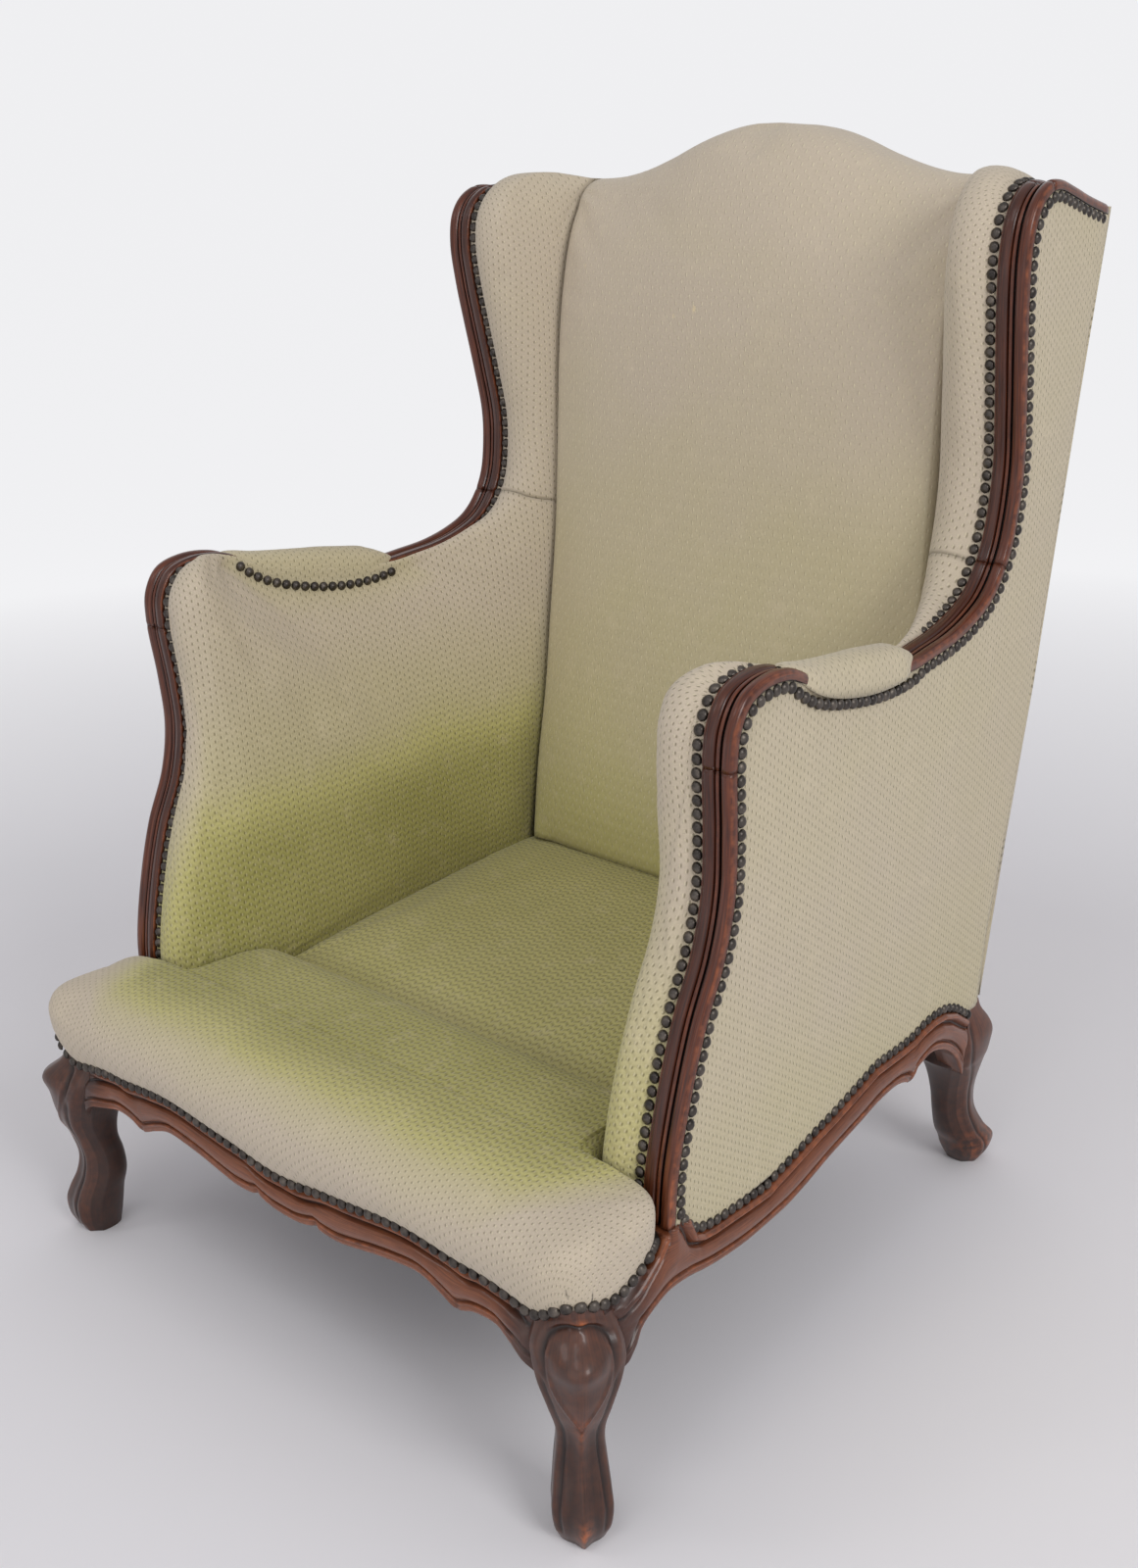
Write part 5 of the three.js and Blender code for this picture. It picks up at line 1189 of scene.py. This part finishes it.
def nail_row(name, path, normal, node, left=False):
    """Domes set a pitch apart along a path of points, each facing along the normal there."""
    path, normal = (np.array(v, float) * ((-1, 1, 1) if left else (1, 1, 1)) for v in (path, normal))
    run = run_length(path)
    count = max(2, int(run[-1] / NAIL_PITCH))
    at = np.linspace(0, run[-1], count + 1)
    middle, up = (grid(*(np.interp(at, run, part) for part in line.T)) for line in (path, normal))
    up = up + rng.normal(0, 0.03, up.shape)
    up /= np.linalg.norm(up, axis=1)[:, None]
    side = np.cross(up, np.gradient(middle, axis=0))
    side /= np.linalg.norm(side, axis=1)[:, None]
    ahead = np.cross(up, side)
    points, tris, quads = dome()
    # side, ahead and up make a right-handed set, so the domes keep facing out.
    placed = middle[:, None] + np.einsum("pk,knc->npc", points, [side, ahead, up])
    offset = (np.arange(len(at)) * len(points))[:, None, None]
    tris, quads = (tris + offset).reshape(-1, 3), (quads + offset).reshape(-1, 4)
    add_piece(name, as_mesh(name, placed.reshape(-1, 3), tris, quads), BRONZE, [node] if node else [])


# The outward direction of a right side frame.
OUT = np.array([1.0, TOE, -LEAN])
OUT /= np.linalg.norm(OUT)
# How deep behind the line the outer row's middle lies, and each inner row's names and shares of the line.
OUTER_NAILS = 9.3 + 5.4
INNER_NAILS = (
    ("post_nails", "nail_row_post_inner", 0.012, PAD_FRONT - 0.012),
    ("wing_nails", "nail_row_wing_inner", PAD_REAR + 0.045, 0.99))
for left, side in SIDES:
    share = steps(0.024, 0.992, 3.0)
    k = np.clip((share - PAD_FRONT) / (PAD_REAR - PAD_FRONT), 0, 1)
    post = on_side(
        1.2 - 3.2 * np.sin(np.pi * k) ** 0.5, *behind(share, OUTER_NAILS + 8.8 * np.sin(np.pi * k) ** 0.6))
    path = np.concatenate([on_side(1.2, *smooth_line(SIDE_NAILS[::-1], 400).T), post])
    nail_row(f"outer_nails_{side}", path, np.broadcast_to(OUT, path.shape), f"nail_row_outer_{side}", left)
    for name, node, start, end in INNER_NAILS:
        share = steps(start, end, 3.0)
        path = on_side(PAD_INSET + 5.6, *behind(share, 4.0 * (1 - ramp(share, 0.87, 0.95)) + 0.5))
        ty, tz = (np.interp(share, LINE_SHARE, part) for part in SLOPE.T)
        nail_row(f"{name}_{side}", path, grid(-0.25, -tz, ty), f"{node}_{side}", left)
    share = steps(PAD_FRONT + 0.008, PAD_REAR - 0.012, 3.0)
    k = (share - PAD_FRONT) / (PAD_REAR - PAD_FRONT)
    path = on_side(38.0 + 4.0 * np.sin(np.pi * k), *behind(share, 4 + 18 * np.sin(np.pi * k) ** 0.55))
    nail_row(f"arm_pad_nails_{side}", path, np.broadcast_to(-OUT, path.shape), None, left)

# The front row follows the lip's hem, from one post's foot round the front to the other.
px, py, hem, end, aim, inset = LIP_EDGE
ahead = np.flatnonzero((py < -253) & (hem < 237))
ahead = ahead[np.argsort(np.arctan2(px[ahead], 252 - py[ahead]))]
aim, inward = aim[ahead], inset[ahead] - 1.4
path = grid(px[ahead] + aim[:, 0] * inward, py[ahead] + aim[:, 1] * inward, hem[ahead] + 4.5)
normal = grid(-aim[:, 0] * (1 + 2 * end[ahead]), -aim[:, 1], 0.12)
normal /= np.linalg.norm(normal, axis=1)[:, None]
nail_row("front_nails", path, normal, "nail_row_front")

# %% [markdown]
# ## What is hidden
# Inside the seat and back are plain beech rails, jute webbing, coil springs and a canvas. Underneath is a
# black dust cloth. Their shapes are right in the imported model, so they only get their materials.


# %% Materials of the hidden pieces
def sawn_wood(name, dark, light):
    material, node, feed = new_material(name, IOR=1.5)
    place = node("TexCoord", out="Object")
    stretched = node("Mapping", place, Scale=(14.0, 180.0, 180.0))
    grain = node("TexNoise", stretched, Scale=1.0, Detail=5.0)
    body = node("ValToRGB", grain, stops=((0.3, dark), (0.7, light)))
    normal = node("Bump", Height=grain, Strength=0.25, Distance=0.001)
    feed(Base_Color=body, Roughness=node("MULTIPLY_ADD", grain, 0.2, 0.62), Normal=normal)
    return material


def plain_weave(name, pitch, light, dark, rough):
    """Cloth with threads a pitch apart, in metres: the product of two waves across each other."""
    material, node, feed = new_material(name, Roughness=rough, Sheen_Weight=0.15)
    place = node("TexCoord", out="Object")
    waves = [node("SINE", node("MULTIPLY", node("SeparateXYZ", place, out=axis), np.pi / pitch)) for axis in "XY"]
    weave = node("MULTIPLY_ADD", node("MULTIPLY", *waves), 0.5, 0.5)
    noise = node("TexNoise", place, Scale=60.0, Detail=3.0)
    body = node("Mix", node("MULTIPLY_ADD", weave, 0.6, node("MULTIPLY", noise, 0.4)), dark, light)
    normal = node("Bump", Height=weave, Strength=0.4, Distance=0.0008)
    feed(Base_Color=body, Normal=normal)
    return material


def spring_wire():
    material, node, feed = new_material("drawn_steel_wire", Metallic=0.9)
    place = node("TexCoord", out="Object")
    spots = node("TexNoise", place, Scale=120.0, Detail=3.0)
    body = node("ValToRGB", spots, stops=((0.4, "#6f7176"), (0.75, "#7d6a58")))
    feed(Base_Color=body, Roughness=node("MULTIPLY_ADD", spots, 0.3, 0.3))
    return material


# Bare and stained beech, plain steel wire, jute webbing and canvas, and black cotton.
BEECH = sawn_wood("sawn_beech", "#9c7a52", "#c09b6e")
STAINED = sawn_wood("stained_sawn_beech", "#3a190f", "#6b3521")
WIRE = spring_wire()
JUTE = plain_weave("jute_webbing", 0.003, "#b29a6c", "#7d6640", 0.95)
CANVAS = plain_weave("hessian_canvas", 0.002, "#a8936a", "#80693f", 0.95)
DUST = plain_weave("black_dust_cloth", 0.0012, "#26262a", "#121214", 0.95)
HIDDEN = {
    "front_corner_block": BEECH, "rear_corner_block": BEECH, "crest_rail": BEECH, "back_tack_rail": BEECH,
    "side_tack_rail": BEECH, "arm_tie_rail": BEECH, "back_rail": STAINED, "long_web": JUTE, "cross_web": JUTE,
    "coil_spring": WIRE, "spring_canvas": CANVAS, "dust_cover": DUST}
for start, material in HIDDEN.items():
    for name, node in NODES.items():
        if name.startswith(start):
            node.data.materials.clear()
            node.data.materials.append(material)
print("hidden pieces finished:", len(HIDDEN), "kinds")

# %% [markdown]
# ## Floor, light and camera
# The chair stands on a pale paper roll that curves up behind it. Four soft lamps and an even sky light it.
# The camera stands where the photographer did: a little above the arm, turned to the chair's right.

# %% Floor
def paper_roll():
    """Pale paper. Away from the chair, what the camera and reflections see of it fades to plain near white."""
    material, node, feed = new_material("pale_backdrop_paper", Roughness=0.95)
    place = node("TexCoord", out="Object")
    far = node("MapRange", node("VectorMath", place, operation="LENGTH", out="Value"), 1.0, 3.2)
    seen = node("MAXIMUM", node("LightPath", out="Is Camera Ray"), node("LightPath", out="Is Glossy Ray"))
    glow = node("MULTIPLY", far, seen)
    feed(Base_Color=node("Mix", glow, "#edebee", "#000000"), Emission_Strength=glow)
    material.node_tree.nodes["Principled BSDF"].inputs["Emission Color"].default_value = colour("#eeeef0")
    return material


AZIMUTH, DOWN, ROLL_ANGLE = np.radians([42.418, 19.562, -1.257])
forward = np.array([-np.sin(AZIMUTH) * np.cos(DOWN), np.cos(AZIMUTH) * np.cos(DOWN), -np.sin(DOWN)])
away = np.array([-np.sin(AZIMUTH), np.cos(AZIMUTH), 0.0])
right = np.array([np.cos(AZIMUTH), np.sin(AZIMUTH), 0.0])
# The roll's section: flat from 6 m in front to 3 m behind, then a quarter circle of 2 m, then straight up.
turn = np.linspace(0, np.pi / 2, 24)
curve = grid(3 + 2 * np.sin(turn), 2 - 2 * np.cos(turn))[1:]
sweep = np.concatenate([[[-6, 0], [-3, 0], [0, 0], [3, 0]], curve, [[5, 5]]])
wide = np.linspace(-7, 7, 9)[:, None]
points = sweep[:, None, :1] * away + wide * right + sweep[:, None, 1:] * (0, 0, 1)
rows, columns = points.shape[:2]
i, j = np.meshgrid(np.arange(rows - 1), np.arange(columns - 1), indexing="ij")
a = (i * columns + j).ravel()
faces = np.stack([a, a + 1, a + 1 + columns, a + columns], -1)
mesh = bpy.data.meshes.new("backdrop")
mesh.from_pydata(points.reshape(-1, 3).tolist(), [], faces.tolist())
mesh.polygons.foreach_set("use_smooth", np.ones(len(faces), bool))
mesh.materials.append(paper_roll())
backdrop = bpy.data.objects.new("backdrop", mesh)
bpy.context.scene.collection.objects.link(backdrop)
print("backdrop:", len(faces), "faces")

# %% Light
world = bpy.data.worlds.new("studio")
bpy.context.scene.world = world
world.use_nodes = True
tree = world.node_tree
tree.nodes["Background"].inputs["Color"].default_value = colour("#f4f4f7")
# The camera sees the sky as the same near white as the paper.
seen = add_node(tree, "LightPath", out="Is Camera Ray")
tree.links.new(add_node(tree, "MULTIPLY_ADD", seen, 0.29, 0.61), tree.nodes["Background"].inputs["Strength"])


def looking(side, up, aim, place):
    """The matrix of a lamp or camera at a place, from its three directions."""
    return Matrix(np.vstack([np.transpose([side, up, -aim, place]), (0, 0, 0, 1)]).tolist())


def area_lamp(name, place, target, size, power):
    """A square soft lamp that faces a target."""
    lamp = bpy.data.lights.new(name, "AREA")
    lamp.size, lamp.energy = size, power
    made = bpy.data.objects.new(name, lamp)
    aim = np.subtract(target, place)
    aim /= np.linalg.norm(aim)
    side = np.cross(aim, [0, 0, 1])
    side /= np.linalg.norm(side)
    made.matrix_world = looking(side, np.cross(side, aim), aim, place)
    bpy.context.scene.collection.objects.link(made)
    print(name, power, "W")


area_lamp("key", (-1.6, -2.4, 2.9), (0, 0, 0.5), 0.7, 5)
area_lamp("fill", (3.1, -0.8, 2.3), (0, 0, 0.5), 1.4, 41)
area_lamp("low", (0.7, -2.8, 0.8), (0, 0, 0.2), 2.6, 10)
area_lamp("overhead", (0.5, -1.9, 3.3), (0, 0.1, 0.4), 1.2, 9)

# %% Camera
upward = np.cross(right, forward)
level = np.cos(ROLL_ANGLE) * right + np.sin(ROLL_ANGLE) * upward
tilt = -np.sin(ROLL_ANGLE) * right + np.cos(ROLL_ANGLE) * upward
place = np.array([1.1191, -1.1843 + SHIFT / 1000, 1.0528])
camera_data = bpy.data.cameras.new("camera")
camera_data.lens, camera_data.sensor_width = 40.46, 36.0
camera = bpy.data.objects.new("camera", camera_data)
camera.matrix_world = looking(level, tilt, forward, place)
bpy.context.scene.collection.objects.link(camera)
bpy.context.scene.camera = camera
bpy.context.scene.view_settings.view_transform = "Standard"
print("camera at", place.round(3))
